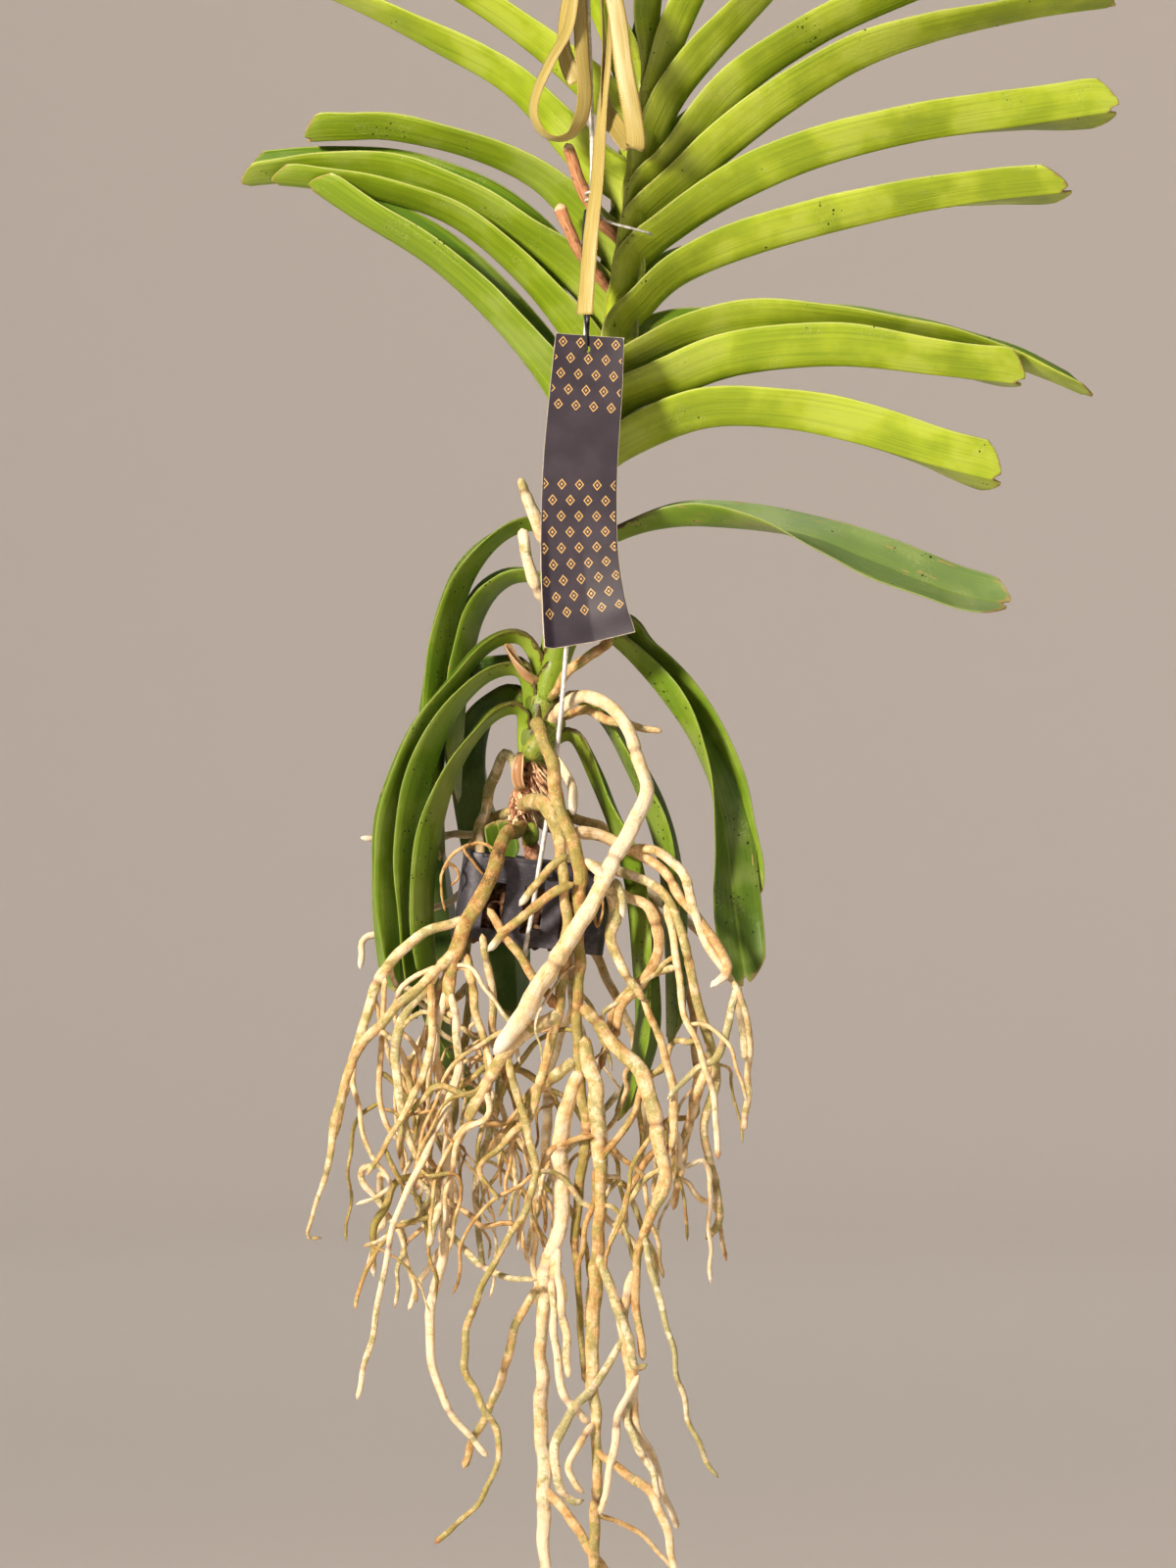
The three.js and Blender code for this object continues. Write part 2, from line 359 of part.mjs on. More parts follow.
// Each root is its radii from start to tip, then the points it passes through.
const ARCH_ROOTS = [
  { r: [4.6, 4.8, 5, 4.6, 4.6, 5, 3.2], p: [[-20, 34, -570], [-13, 12, -561], [0, 10, -555],
    [17.5, 6, -567], [27.5, 0, -593], [29, -4, -608], [15, -14, -635], [6, -20, -652.5], [-5, -22, -672.5],
    [-20, -20, -695], [-35, -18, -720], [-47.5, -16, -737.5]] },
  { r: [2.6, 3], p: [[-1.5, -18, -638], [4, -19, -643], [10, -18, -648]] },
];
const MAIN_ROOTS = [
  // Down the front from the crown.
  { r: [7, 7, 6.5, 4.8, 5, 3.2, 2.4], p: [[-26, 24, -569], [-26, 8, -569], [-23, -7, -577], [-18, -11, -592],
    [-15, -11, -610], [-6, -11, -635], [-4, -10, -660], [-5, -9, -700], [-5, -7, -740], [-1, -3, -780],
    [-6, 2, -817], [-5, 8, -860], [-1.5, 12, -907]] },
  { r: [6, 6, 5, 4.5, 4, 2.2, 1.2], p: [[-34, 34, -611], [-29, 14, -609], [-22, -8, -611], [-15, -10, -626],
    [-12.5, -10, -650], [-11, -9, -675], [-14.5, -8, -712], [-22.5, -8, -744], [-29, -10, -768],
    [-40, -14, -779], [-54, -18, -795], [-45, -20, -811]] },
  { r: [5.5, 5.5, 5.5, 5, 4], p: [[-33, 36, -622], [-37, 20, -624], [-42, 4, -626], [-47, -8, -640],
    [-54, -10, -657], [-64, -10, -675], [-70, -8, -695], [-72, -6, -715]] },
  { r: [4, 3.4, 3, 2.6, 1.6, 1], p: [[-64, -9, -682], [-85, -12, -702], [-111, -16, -728], [-121, -16, -744],
    [-129, -12, -775], [-134, -6, -801], [-143, -2, -828], [-136, 2, -832]] },
  { r: [3.6, 3.4, 3, 2], p: [[-62, -9, -668], [-87, -10, -678], [-104, -8, -696], [-115, -2, -724],
    [-127, 4, -769], [-132, 8, -790]] },
  { r: [3, 2.8, 2.4], p: [[-10, -12, -636], [-19, -13, -642], [-26, -12, -651], [-35, -11, -662]] },
  { r: [3.2, 3.2, 2.6], p: [[-7, -16, -650], [-23, -16, -659], [-42, -14, -675], [-51, -12, -685]] },
  { r: [2.6, 3.2, 3.2, 3.6], p: [[-51, -12, -663], [-43, -12, -675], [-36, -11, -686], [-16, -9, -714]] },
  { r: [4.6, 4, 3.2], p: [[-14, -9, -716], [-38, -13, -732], [-51, -16, -751], [-62, -18, -771]] },
  { r: [4, 3.6, 3], p: [[-6, -8, -740], [-29, -4, -759], [-38, 0, -772], [-52, 6, -790]] },
  // Out to the right.
  { r: [4.4, 4, 3.6, 3, 2.6], p: [[-8, -8, -624], [8, 0, -627], [22, 0, -634], [37, -2, -643],
    [50, -6, -661], [67, -12, -684], [71, -14, -695], [62, -16, -703]] },
  { r: [3.6, 3.4, 3, 2.6], p: [[-6, -6, -640], [10, -1, -643], [32, 0, -651], [42, -3, -661],
    [48, -5, -676], [54, -6, -704], [65, -2, -748], [59, 4, -775], [57, 8, -792], [61, 12, -815],
    [70, 16, -822], [61, 18, -834]] },
  { r: [4.8, 5, 4, 3], p: [[4, -8, -645], [12, -9, -655], [14, -10, -668], [12, -10, -682],
    [28, -14, -710]] },
  { r: [2.9, 2.6], p: [[14, -10, -648], [16, -14, -654], [18, -15, -668]] },
  { r: [3.8, 4, 3.2, 2.6], p: [[8, -4, -649], [19, -4, -656], [30, -5, -663], [36, -6, -677],
    [34, -6, -692], [28, -4, -700], [18, 0, -712], [14, 4, -730]] },
  { r: [3, 3, 2.4, 2], p: [[20, 0, -633], [33, -6, -633], [42, -7, -639], [50, -9, -650],
    [60, -10, -682], [76, -10, -704], [82, -8, -730], [81, -4, -762], [79, -2, -777]] },
  { r: [2.6, 2.6, 2.2, 1.6], p: [[76, -10, -703], [67, -14, -736], [55, -16, -744], [40, -18, -760]] },
  { r: [2.6, 2.4, 2], p: [[40, -2, -660], [45, -8, -690], [50, -14, -720], [62, -18, -750],
    [66, -20, -790]] },
  { r: [3, 3, 2.4, 2], p: [[62, -3, -740], [55, 0, -762], [46, 6, -790], [38, 10, -812], [30, 14, -826]] },
  { r: [2.6, 2.6, 2], p: [[28, -8, -708], [38, -12, -735], [44, -14, -762], [40, -16, -790],
    [33, -18, -815]] },
  // Straight down below the basket.
  { r: [5, 5.6, 5, 4.6, 4.6, 4.2, 3.2], p: [[-4, -7, -745], [-14, -6, -779], [-14, -2, -823],
    [-22, 3, -852], [-24, 8, -915], [-22.5, 10, -960], [-22.5, 10, -1000], [-21, 9, -1026]] },
  { r: [4.4, 5, 4.8, 4, 3.8, 2.6], p: [[-3, -8, -728], [3, -9, -752], [5, -8, -779], [6, -7, -815],
    [2, -5, -891], [4.5, -4, -939], [3, -5, -1000], [5, -6, -1034]] },
  { r: [4, 5, 5, 4.8, 4.4, 3, 2.4], p: [[-4, -9, -712], [17, -12, -736], [28, -15, -748], [33, -17, -767],
    [38, -18, -791], [38, -17, -807], [30, -14, -823], [24, -12, -852], [28, -12, -893]] },
  { r: [3, 4, 3.2, 2.2], p: [[24, -12, -846], [18, -9, -870], [22, -6, -900], [24, -4, -925],
    [33, 0, -945], [46, 6, -981]] },
  { r: [2, 2.2, 1.8, 1.2], p: [[28, -14, -828], [33, -18, -850], [41, -22, -878], [50, -24, -918],
    [60, -24, -942], [66, -23, -951]] },
  { r: [3, 3.6, 3, 2.2], p: [[4, -7, -838], [10, -12, -852], [20, -16, -880], [24, -18, -895],
    [30, -19, -894]] },
  { r: [2.4, 2.6, 2], p: [[26, -12, -900], [16, -11, -920], [12, -10, -945], [6, -7, -972]] },
  { r: [2.6, 3, 2.6], p: [[-22, 3, -852], [-36, 8, -875], [-46, 14, -910], [-58, 18, -935],
    [-64, 20, -952]] },
  { r: [2.2, 2.6, 2.2], p: [[-16, -1, -835], [-14, -6, -860], [-11, -9, -884], [-10, -10, -902]] },
  { r: [2.6, 2.8, 2.4], p: [[-17, 0, -836], [-18, -4, -862], [-14, -7, -905], [-6, -7, -918],
    [0, -5, -926]] },
  { r: [2.6, 3, 2.4], p: [[20, -8, -880], [4, -8, -905], [-8, -10, -918], [-16, -12, -936], [-16, -13, -954],
    [-8, -12, -964], [-2, -10, -964]] },
  { r: [2.4, 2.8, 2], p: [[3, -6, -925], [-5, -14, -936], [-10, -18, -946], [-6, -20, -955],
    [-2, -20, -959]] },
  { r: [2.4, 3, 2.2], p: [[4, -5, -938], [12, -9, -946], [32, -14, -960], [40, -16, -980],
    [46, -17, -1006]] },
  { r: [2.4, 3, 2.4], p: [[20, -6, -908], [22, -9, -930], [33, -12, -950], [36, -13, -964]] },
  { r: [2.6, 3.2, 2.4], p: [[-22, 9, -960], [-12, 5, -972], [2, 3, -992], [12, 3, -1008]] },
  { r: [1.8, 2, 1.6], p: [[4, -4, -972], [14, 0, -976], [30, 4, -986], [44, 6, -1002]] },
  // Down the left side.
  { r: [2.6, 3.4, 3, 2.4], p: [[-72, -8, -705], [-78, -8, -732], [-72, -4, -770], [-72, 0, -800],
    [-74, 4, -840], [-81, 6, -872], [-78, 6, -903], [-69, 5, -923], [-51, 4, -944]] },
  { r: [2.4, 2.6, 1.8], p: [[-73, 2, -826], [-62, -3, -838], [-48, -8, -849], [-26, -12, -852]] },
  { r: [3, 3, 2.6, 2], p: [[-76, -9, -694], [-97, -14, -728], [-92, -14, -776], [-78, -8, -806],
    [-73, 0, -822]] },
  { r: [2.6, 2.6, 2.2, 1.6], p: [[-70, -8, -705], [-66, -14, -745], [-82, -18, -786], [-98, -20, -822],
    [-107, -20, -868], [-117, -19, -912]] },
  { r: [1.6, 1.8], p: [[-101, -20, -828], [-108, -21, -832], [-114, -21, -834]] },
  { r: [2.6, 2.2, 1.6], p: [[-80, -11, -700], [-81, -18, -740], [-102, -22, -782], [-112, -23, -798]] },
  { r: [2.2, 1.8, 1.2], p: [[-120, 1, -742], [-118, -3, -762], [-111, -6, -788], [-100, -8, -804],
    [-118, -8, -814]] },
  { r: [2, 2, 1.6], p: [[-103, -9, -698], [-106, -4, -745], [-104, 0, -772], [-97, 2, -782]] },
  { r: [2, 2.2, 1.8], p: [[-72, 0, -800], [-68, 4, -823], [-86, 10, -855], [-92, 12, -870]] },
  { r: [3, 3.2, 2.6], p: [[-72, 0, -798], [-76, -5, -815], [-81, -8, -836]] },
  { r: [3, 3, 2.4, 2], p: [[-62, -8, -686], [-56, -8, -720], [-51, -6, -742], [-54, -4, -765]] },
  { r: [2.6, 2.6, 2.2], p: [[-54, -10, -676], [-48, -4, -712], [-49, 0, -728], [-40, 4, -742]] },
  { r: [2.6, 2.4, 2], p: [[-42, -13, -733], [-38, -16, -752], [-27, -18, -791], [-32, -18, -816],
    [-45, -18, -838], [-59, -17, -868], [-62, -16, -896], [-46, -14, -931], [-47, -13, -948],
    [-56, -12, -965],
    [-78, -11, -986]] },
  // Behind the leaves and down the back.
  { r: [4.4, 4.2, 4], p: [[-31, 46, -606], [-42, 50, -584], [-50, 52, -600], [-56, 54, -624],
    [-57, 52, -646]] },
  { r: [4.4, 4.6, 4.2, 3.4, 2.6], p: [[-33, 44, -616], [-24, 66, -620], [-14, 86, -626], [-10, 90, -650],
    [-10, 88, -690], [-6, 74, -722], [2, 52, -752], [8, 34, -790], [4, 28, -840], [-2, 26, -880]] },
  { r: [4, 4, 3.4, 2.6, 2], p: [[-34, 46, -612], [-46, 64, -616], [-56, 82, -622], [-62, 88, -640],
    [-64, 84, -674], [-62, 66, -710], [-66, 46, -748], [-72, 34, -790], [-70, 30, -830]] },
  { r: [2.6, 2.4, 2.2], p: [[-58, 84, -626], [-76, 82, -628], [-96, 74, -630], [-113, 66, -628]] },
  { r: [2.6, 2.6, 2], p: [[-62, 86, -655], [-86, 80, -668], [-104, 70, -679], [-113, 64, -688],
    [-113, 63, -695]] },
  { r: [4, 3.8, 3, 2.4, 2], p: [[-33, 44, -610], [-14, 60, -616], [8, 74, -624], [22, 84, -642],
    [36, 82, -668], [50, 70, -700], [56, 52, -740], [52, 38, -780], [44, 30, -820]] },
  { r: [3, 3, 2.4], p: [[28, 84, -654], [54, 78, -674], [76, 66, -702], [82, 52, -744]] },
  { r: [3.4, 3.2, 2.6, 2], p: [[-10, 88, -680], [-28, 82, -712], [-42, 64, -742], [-50, 44, -778],
    [-58, 30, -806], [-54, 24, -850]] },
  { r: [3.4, 3.2, 2.6, 2], p: [[-10, 89, -668], [12, 84, -706], [26, 68, -742], [30, 50, -782],
    [22, 34, -812]] },
  { r: [3, 3, 2.4], p: [[-7, 78, -714], [-20, 66, -750], [-22, 50, -790], [-28, 38, -826], [-26, 30, -870]] },
  { r: [2.8, 2.6, 2], p: [[-62, 70, -704], [-84, 60, -730], [-96, 46, -762], [-96, 34, -800]] },
];

// ---------------------------------------------------------------- short stubs on the stem
const FLOWER_STEMS = [
  { name: 'flower_stem_upper', r: [2.6, 2.8, 2.8], p: [[19, 28, -323], [4, 13, -308], [-4, 9, -292],
    [-11, 8, -272]] },
  { name: 'flower_stem_lower', r: [2.6, 3, 3], p: [[14, 28, -348], [-3, 13, -329], [-10, 9, -316],
    [-15, 8, -303]] },
];
const STUBS = [
  { name: 'stub_white', look: WHITE_ROOT, r: [2.4, 2.6, 2], p: [[-10, 26, -486], [-22, 16, -474],
    [-29, 12, -458],
    [-35, 11, -443]] },
  { name: 'stub_pale', look: WHITE_ROOT, r: [2.8, 3, 2.8], p: [[-12, 31, -515], [-26, 15, -500],
    [-31, 11, -484],
    [-34, 10, -469]] },
  { name: 'stub_dry', look: DRY_STEM, r: [2.4, 2.4, 2], p: [[-21, 33, -552], [-31, 19, -542], [-37, 14, -534],
    [-42, 13, -528]] },
];
const FREE_ROOTS = [
  { name: 'root_tan', r: [3, 3.4, 3.2], p: [[-19, 28, -556], [-14, 15, -548], [-8, 13, -540],
    [6, 14, -531], [12, 16, -525]] },
  { name: 'root_side', r: [2.8, 2.8, 2], p: [[-19, 42, -570], [-4, 26, -562], [10, 19, -567],
    [24, 18, -570], [38, 18, -573]] },
];

// ---------------------------------------------------------------- hanger and ties
const HANGER_LINE = [
  [-12, 0, -21], [-13, 0, -11.75], [-9.2, 0, -2.6], [0, 0, 1.25], [9.2, 0, -2.6], [13, 0, -11.75],
  [9.5, 0, -27], [2, 0, -42], [0, 0, -60], [0, 0, -130], [0, 0, -200], [1.5, 0, -250], [2, 0, -300],
  [-1, 0, -367], [-5, 0, -450], [-11, 0, -530], [-15, 0, -575], [-20, 0, -612], [-24.5, 0, -640],
  [-29.5, 0, -671], [-31.6, 0, -682], [-32, 3, -686.6], [-32, 10, -687.3], [-32, 40, -687.3],
  [-32, 68, -687.3]];

const TIE_LINE = [[4.6, -2.6, -298], [0, -2.9, -298.5], [-1.2, 0.6, -299.3], [2.2, 2.9, -300],
  [5, 0.4, -300.8], [2, -2.9, -301.6], [-1.2, -0.4, -302.4], [2, 2.9, -303.2], [6, 1, -304.5],
  [9, -0.5, -310], [14, 0.5, -314.5], [23, 3, -317.4], [31, 8, -319], [32.5, 13, -319.5]];

const RIBBON_KNOT = [0, -3, -162];
const RIBBON_BANDS = [
  { name: 'left_loop', steps: 16, widths: [7, 8, 9, 9, 9, 8, 7], line: [[-1, -5, -163, 30],
    [-6, -9, -185, 45], [-10, -11, -215, 50], [-19, -13, -232, 50], [-26, -14, -247, 55],
    [-28, -14, -259, 60], [-24, -14, -269, 70], [-17, -13, -273, 80], [-9, -12, -271, 70],
    [-3.5, -10, -262, 40], [-1.5, -8, -248, 30], [-3, -7, -225, 25], [-4, -6, -195, 20],
    [-1, -5, -163, 20]] },
  { name: 'right_loop', steps: 13, widths: [7, 9, 10, 10, 10, 9, 7], line: [[1, -5, -163, 0],
    [8, -9, -180, 0], [15, -11, -200, 0], [18.5, -12, -230, 5], [22.5, -12, -258, 10],
    [25, -11, -272, 30], [20, -8, -275, 30], [15, -5.5, -262, 15], [13, -5, -235, 10],
    [9, -5, -200, 5], [2, -4, -164, 0]] },
  { name: 'long_tail', steps: 8, widths: [8, 8, 10, 10, 10], line: [[1, -5.5, -164, 60],
    [9, -8, -188, 80], [11, -8, -212, 75], [9.5, -7.5, -236, 40], [6.5, -7, -256, 5],
    [4.5, -6.5, -290, 0], [0.5, -6.5, -325, 0], [-2, -6.5, -361, 0]] },
  { name: 'short_tail', steps: 6, widths: [8, 8, 9], line: [[-1, -4.5, -164, 20], [-8, -5, -190, 30],
    [-13, -5.5, -218, 40], [-11, -5.5, -232, 20], [-6, -5.5, -243, 0]] },
];

const TAG_LINE = [[1, -9, -372], [-1, -9, -400], [-4, -8.5, -440], [-4.5, -9, -480], [-2, -12, -510],
  [1, -19, -528]];
const TAG_WIDTHS = [35, 37, 38, 39.5, 43, 47];
const TAG_HOLE = [-0.6, -9, -379];
const TAG_HOLE_RADIUS = 1.8;
const STRING_LINE = [[-0.6, -10.6, -380], [-0.8, -10.4, -371], [-1.2, -8.4, -362], [-2.4, -4.4, -345],
  [-2.6, -2.8, -325], [-1.6, -2.4, -310], [-1, 1.2, -307.4], [1.9, 2.8, -306.8], [4.8, 1.6, -307.4],
  [4.8, -2, -309], [3.2, -3, -325], [1, -3.4, -345], [0.2, -4.6, -365], [-0.6, -6.6, -377.4]];

// A square with rounded corners, as an upright prism whose foot is at height z.
function roundedPrism(half, corner, depth, z) {
  const shape = new THREE.Shape();
  const centre = half - corner;
  shape.moveTo(-centre, -half);
  shape.absarc(centre, -centre, corner, -Math.PI / 2, 0);
  shape.absarc(centre, centre, corner, 0, Math.PI / 2);
  shape.absarc(-centre, centre, corner, Math.PI / 2, Math.PI);
  shape.absarc(-centre, -centre, corner, Math.PI, 1.5 * Math.PI);
  return new THREE.ExtrudeGeometry(shape, { depth, bevelEnabled: false, curveSegments: 3 })
    .translate(0, 0, z);
}

// The net basket round its own centre: a moulded cup with slots in its sides and floor.
function basketSolid() {
  const half = BASKET_SIZE / 2;
  const foot = -BASKET_HEIGHT / 2;
  const inside = roundedPrism(half - BASKET_WALL, BASKET_CORNER - BASKET_WALL, BASKET_HEIGHT,
    foot + BASKET_WALL);
  let solid = solidOf(roundedPrism(half, BASKET_CORNER, BASKET_HEIGHT, foot)).subtract(solidOf(inside));
  for (const turn of [0, Math.PI / 2]) {
    for (const place of [-1, 0, 1]) {
      const slot = new THREE.BoxGeometry(SLOT_WIDTH, 2 * BASKET_SIZE, SLOT_HEIGHT);
      slot.translate(place * SLOT_PITCH, 0, -SLOT_HEIGHT / 6);
      slot.rotateZ(turn);
      solid = solid.subtract(solidOf(slot));
    }
  }
  for (const place of [-1.5, -0.5, 0.5, 1.5]) {
    const slot = new THREE.BoxGeometry(SLOT_WIDTH, BASKET_SIZE - 2 * SLOT_WIDTH, 4 * BASKET_WALL);
    slot.translate(place * FLOOR_SLOT_PITCH, 0, foot);
    solid = solid.subtract(solidOf(slot));
  }
  for (const [x, z] of CLIP_PLACES) {
    const clip = new THREE.BoxGeometry(...CLIP_SIZE);
    clip.translate(x, -half - CLIP_SIZE[1] / 2 + GAP, z);
    solid = solid.add(solidOf(clip));
  }
  return solid;
}

function placeBasket(solid) {
  const geometry = geometryOf(solid);
  geometry.rotateY(BASKET_TILT);
  geometry.translate(...BASKET_CENTRE);
  return solidOf(geometry);
}

// The filling: chips lie on a plain core, drawn in turn by a small fixed generator.
function barkSolid() {
  let seed = 7;
  const draw = (low, high) => {
    seed = (seed * 1103515245 + 12345) % 2147483648;
    return mix(low, high, seed / 2147483648);
  };
  const reach = BASKET_SIZE / 2 - BASKET_WALL - CORE_MARGIN;
  const floor = -BASKET_HEIGHT / 2 + BASKET_WALL + GAP;
  const core = new THREE.BoxGeometry(2 * reach, 2 * reach, CORE_HEIGHT);
  core.translate(0, 0, floor + CORE_HEIGHT / 2);
  let solid = solidOf(core);
  for (let i = 0; i < CHIP_COUNT; i++) {
    const chip = new THREE.BoxGeometry(draw(12, 22), draw(8, 14), draw(5, 8));
    chip.rotateX(draw(-0.6, 0.6));
    chip.rotateY(draw(-0.6, 0.6));
    chip.rotateZ(draw(0, Math.PI));
    chip.translate(draw(-25, 25), draw(-25, 25), floor + CORE_HEIGHT + draw(-1, 3));
    solid = solid.add(solidOf(chip));
  }
  return solid;
}

// ---------------------------------------------------------------- assembly
const group = new THREE.Group();
group.name = 'vanda_orchid';

function place(name, solid, material) {
  const mesh = new THREE.Mesh(geometryOf(solid), material);
  mesh.name = name;
  group.add(mesh);
}

const joined = (list, sides, grow = 0) => list
  .map(({ r, p }) => solidOf(tube(p, r, { sides: r[0] < THIN_ROOT ? sides - 1 : sides, grow })))
  .reduce((whole, piece) => whole.add(piece));

// Pieces go in one after another. Each is cut clear of those before it, by the gap.
const placed = [];
function seat(name, build, material) {
  let solid = build(0);
  const box = boxOf(solid);
  for (const other of placed) {
    if (box.intersectsBox(other.box)) solid = solid.subtract(other.grown);
  }
  const grown = build(GAP);
  placed.push({ grown, box: boxOf(grown) });
  place(name, largest(solid), material);
}

function boxOf(solid) {
  const geometry = geometryOf(solid);
  geometry.computeBoundingBox();
  return geometry.boundingBox;
}

// Cutting can leave crumbs. The biggest piece stays.
function largest(solid) {
  const pieces = solid.decompose();
  return pieces.reduce((best, piece) => (piece.volume() > best.volume() ? piece : best));
}

seat('stem', stemSolid, STEM_GREEN);
seat('hanger_wire', (grow) => solidOf(tube(HANGER_LINE, [WIRE_RADIUS],
  { sides: 6, steps: HANGER_LINE.length - 1, grow })), STEEL);
seat('old_stem_and_roots', (grow) => solidOf(tube(OLD_STEM_LINE, OLD_STEM_RADII, { sides: 7, grow }))
  .add(joined(MAIN_ROOTS, 5, grow)), ROOT);
seat('root_arch', (grow) => joined(ARCH_ROOTS, 6, grow), WHITE_ROOT);
for (const root of FREE_ROOTS) seat(root.name, (grow) => joined([root], 6, grow), ROOT);
for (const stub of STUBS) seat(stub.name, (grow) => joined([stub], 6, grow), stub.look);
for (const stub of FLOWER_STEMS) seat(stub.name, (grow) => joined([stub], 6, grow), DRY_STEM);
seat('tie_wire', (grow) => solidOf(tube(TIE_LINE, [TIE_RADIUS], { sides: 5, steps: 24, grow })), STEEL);
seat('basket', () => placeBasket(basketSolid()), BLACK_PLASTIC);
seat('bark', () => placeBasket(barkSolid()), BARK);
seat('tag_string', (grow) => solidOf(tube(STRING_LINE, [STRING_RADIUS],
  { sides: 5, steps: 26, grow })), CORD);
seat('ribbon_bow', (grow) => RIBBON_BANDS
  .map(({ line, widths, steps }) => solidOf(band(line, widths, RIBBON_THICKNESS, steps, grow)))
  .reduce((whole, piece) => whole.add(piece), solidOf(new THREE.SphereGeometry(7 + grow, 8, 6)
    .scale(1, 0.8, 0.8).translate(...RIBBON_KNOT))), SATIN);
seat('tag', (grow) => solidOf(band(TAG_LINE.map((p) => [...p, 0]), TAG_WIDTHS, TAG_THICKNESS, 10, grow))
  .subtract(solidOf(new THREE.CylinderGeometry(TAG_HOLE_RADIUS, TAG_HOLE_RADIUS, 12, 12)
    .translate(...TAG_HOLE))), CARD);
for (const leaf of LEAVES) {
  seat(leaf.name, (grow) => solidOf(leafBlade(leaf, grow)), leaf.age === 'fresh' ? FRESH_LEAF : OLD_LEAF);
}

export default group;
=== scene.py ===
# %% [markdown]
# # A vanda orchid in a hanging net basket
#
# The plant is grown bare-rooted. Its stem carries two ranks of strap leaves, its old foot sits in
# a moulded net basket of bark, and dozens of roots hang free below. A wire rod runs up the front
# to a hook, with a satin bow and a card tag tied to it.
#
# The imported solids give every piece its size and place. This notebook gives each its fine surface
# and its finish. A leaf or a root has a grain that runs along it, so each is worked out afresh as
# a surface with two directions, along and across, which then carry its veins and fibres.

from functools import partial

import bpy
import numpy as np
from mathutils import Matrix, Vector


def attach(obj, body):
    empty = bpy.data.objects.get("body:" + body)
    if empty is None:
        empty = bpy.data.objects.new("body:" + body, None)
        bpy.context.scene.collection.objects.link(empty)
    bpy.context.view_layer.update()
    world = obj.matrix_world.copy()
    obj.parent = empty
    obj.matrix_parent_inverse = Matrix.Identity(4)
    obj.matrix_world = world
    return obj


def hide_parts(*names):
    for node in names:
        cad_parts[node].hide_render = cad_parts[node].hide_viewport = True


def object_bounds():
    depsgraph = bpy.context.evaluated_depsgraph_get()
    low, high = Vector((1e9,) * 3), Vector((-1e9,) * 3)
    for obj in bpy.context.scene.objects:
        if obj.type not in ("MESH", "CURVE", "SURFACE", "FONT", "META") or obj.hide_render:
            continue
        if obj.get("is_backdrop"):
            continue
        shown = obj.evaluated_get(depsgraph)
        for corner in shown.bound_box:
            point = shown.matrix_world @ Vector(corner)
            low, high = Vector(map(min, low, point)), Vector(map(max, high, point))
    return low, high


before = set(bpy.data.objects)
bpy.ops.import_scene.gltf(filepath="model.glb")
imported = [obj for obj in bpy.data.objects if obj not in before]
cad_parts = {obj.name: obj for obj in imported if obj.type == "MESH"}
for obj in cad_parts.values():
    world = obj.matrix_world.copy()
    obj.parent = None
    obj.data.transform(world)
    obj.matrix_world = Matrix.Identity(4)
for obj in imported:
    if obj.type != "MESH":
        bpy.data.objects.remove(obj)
cad_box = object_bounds()
print("solids:", len(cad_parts))

# %% [markdown]
# ## Camera
#
# A portrait lens stands well back, level with the middle of the plant, so that leaves that reach
# forward aren't swollen. The lens follows from the height that the image shows.

# %% Camera
CAMERA_AWAY = 2.6            # metres in front of the rod
VIEW_CENTRE = -0.6           # height of the middle of the image, below the hook
VIEW_HEIGHT = 0.8            # metres of height that the image shows there
SENSOR = 36.0

lens = bpy.data.cameras.new("portrait_lens")
lens.sensor_width = SENSOR
lens.lens = SENSOR * CAMERA_AWAY / VIEW_HEIGHT
camera = bpy.data.objects.new("camera", lens)
camera.location = (0, -CAMERA_AWAY, VIEW_CENTRE)
camera.rotation_euler = (np.pi / 2, 0, 0)
bpy.context.scene.collection.objects.link(camera)
bpy.context.scene.camera = camera
print("lens in mm:", round(lens.lens, 1))

# %% [markdown]
# ## Curves
#
# Every leaf, root, wire and ribbon follows a Catmull-Rom spline, which passes through all of its
# chosen points. It is read at even steps of length, because uneven steps would stretch a pattern
# along the piece.

# %% Curves
MM = 0.001


def smooth(low, high, x):
    """Rises from 0 at low to 1 at high, level at both ends: three s squared less two s cubed."""
    s = np.clip((np.asarray(x, float) - low) / (high - low), 0, 1)
    return s * s * (3 - 2 * s)


def mix(a, b, share):
    return a + (b - a) * share


def through(values, places):
    """A Catmull-Rom curve through rows of values, read at places counted in rows from 0.

    Between two rows it is the cubic that meets both, with each slope taken from the rows around."""
    rows = np.asarray(values, float)
    if len(rows) == 1:
        return np.repeat(rows, len(places), axis=0)
    rows = np.concatenate([[2 * rows[0] - rows[1]], rows, [2 * rows[-1] - rows[-2]]])
    first = np.clip(np.floor(places).astype(int), 0, len(rows) - 4)
    f = np.asarray(places) - first
    f = f.reshape(f.shape + (1,) * (rows.ndim - 1))
    a, b, c, d = (rows[first + k] for k in range(4))
    return 0.5 * (2 * b + (c - a) * f + (2 * a - 5 * b + 4 * c - d) * f**2
                  + (3 * b - a - 3 * c + d) * f**3)


def unit(rows):
    return rows / np.linalg.norm(rows, axis=-1, keepdims=True)


def line_through(points, step):
    """Reads the curve through the points at even steps: places, directions, runs and row counts."""
    rows = np.linspace(0, len(points) - 1, 60 * len(points))
    gaps = np.linalg.norm(np.diff(through(points, rows), axis=0), axis=1)
    run = np.concatenate([[0], np.cumsum(gaps)])
    even = np.linspace(0, run[-1], max(int(round(run[-1] / step)), 4) + 1)
    rows = np.interp(even, run, rows)
    places = through(points, rows)
    return places, unit(np.gradient(places, axis=0)), even, rows


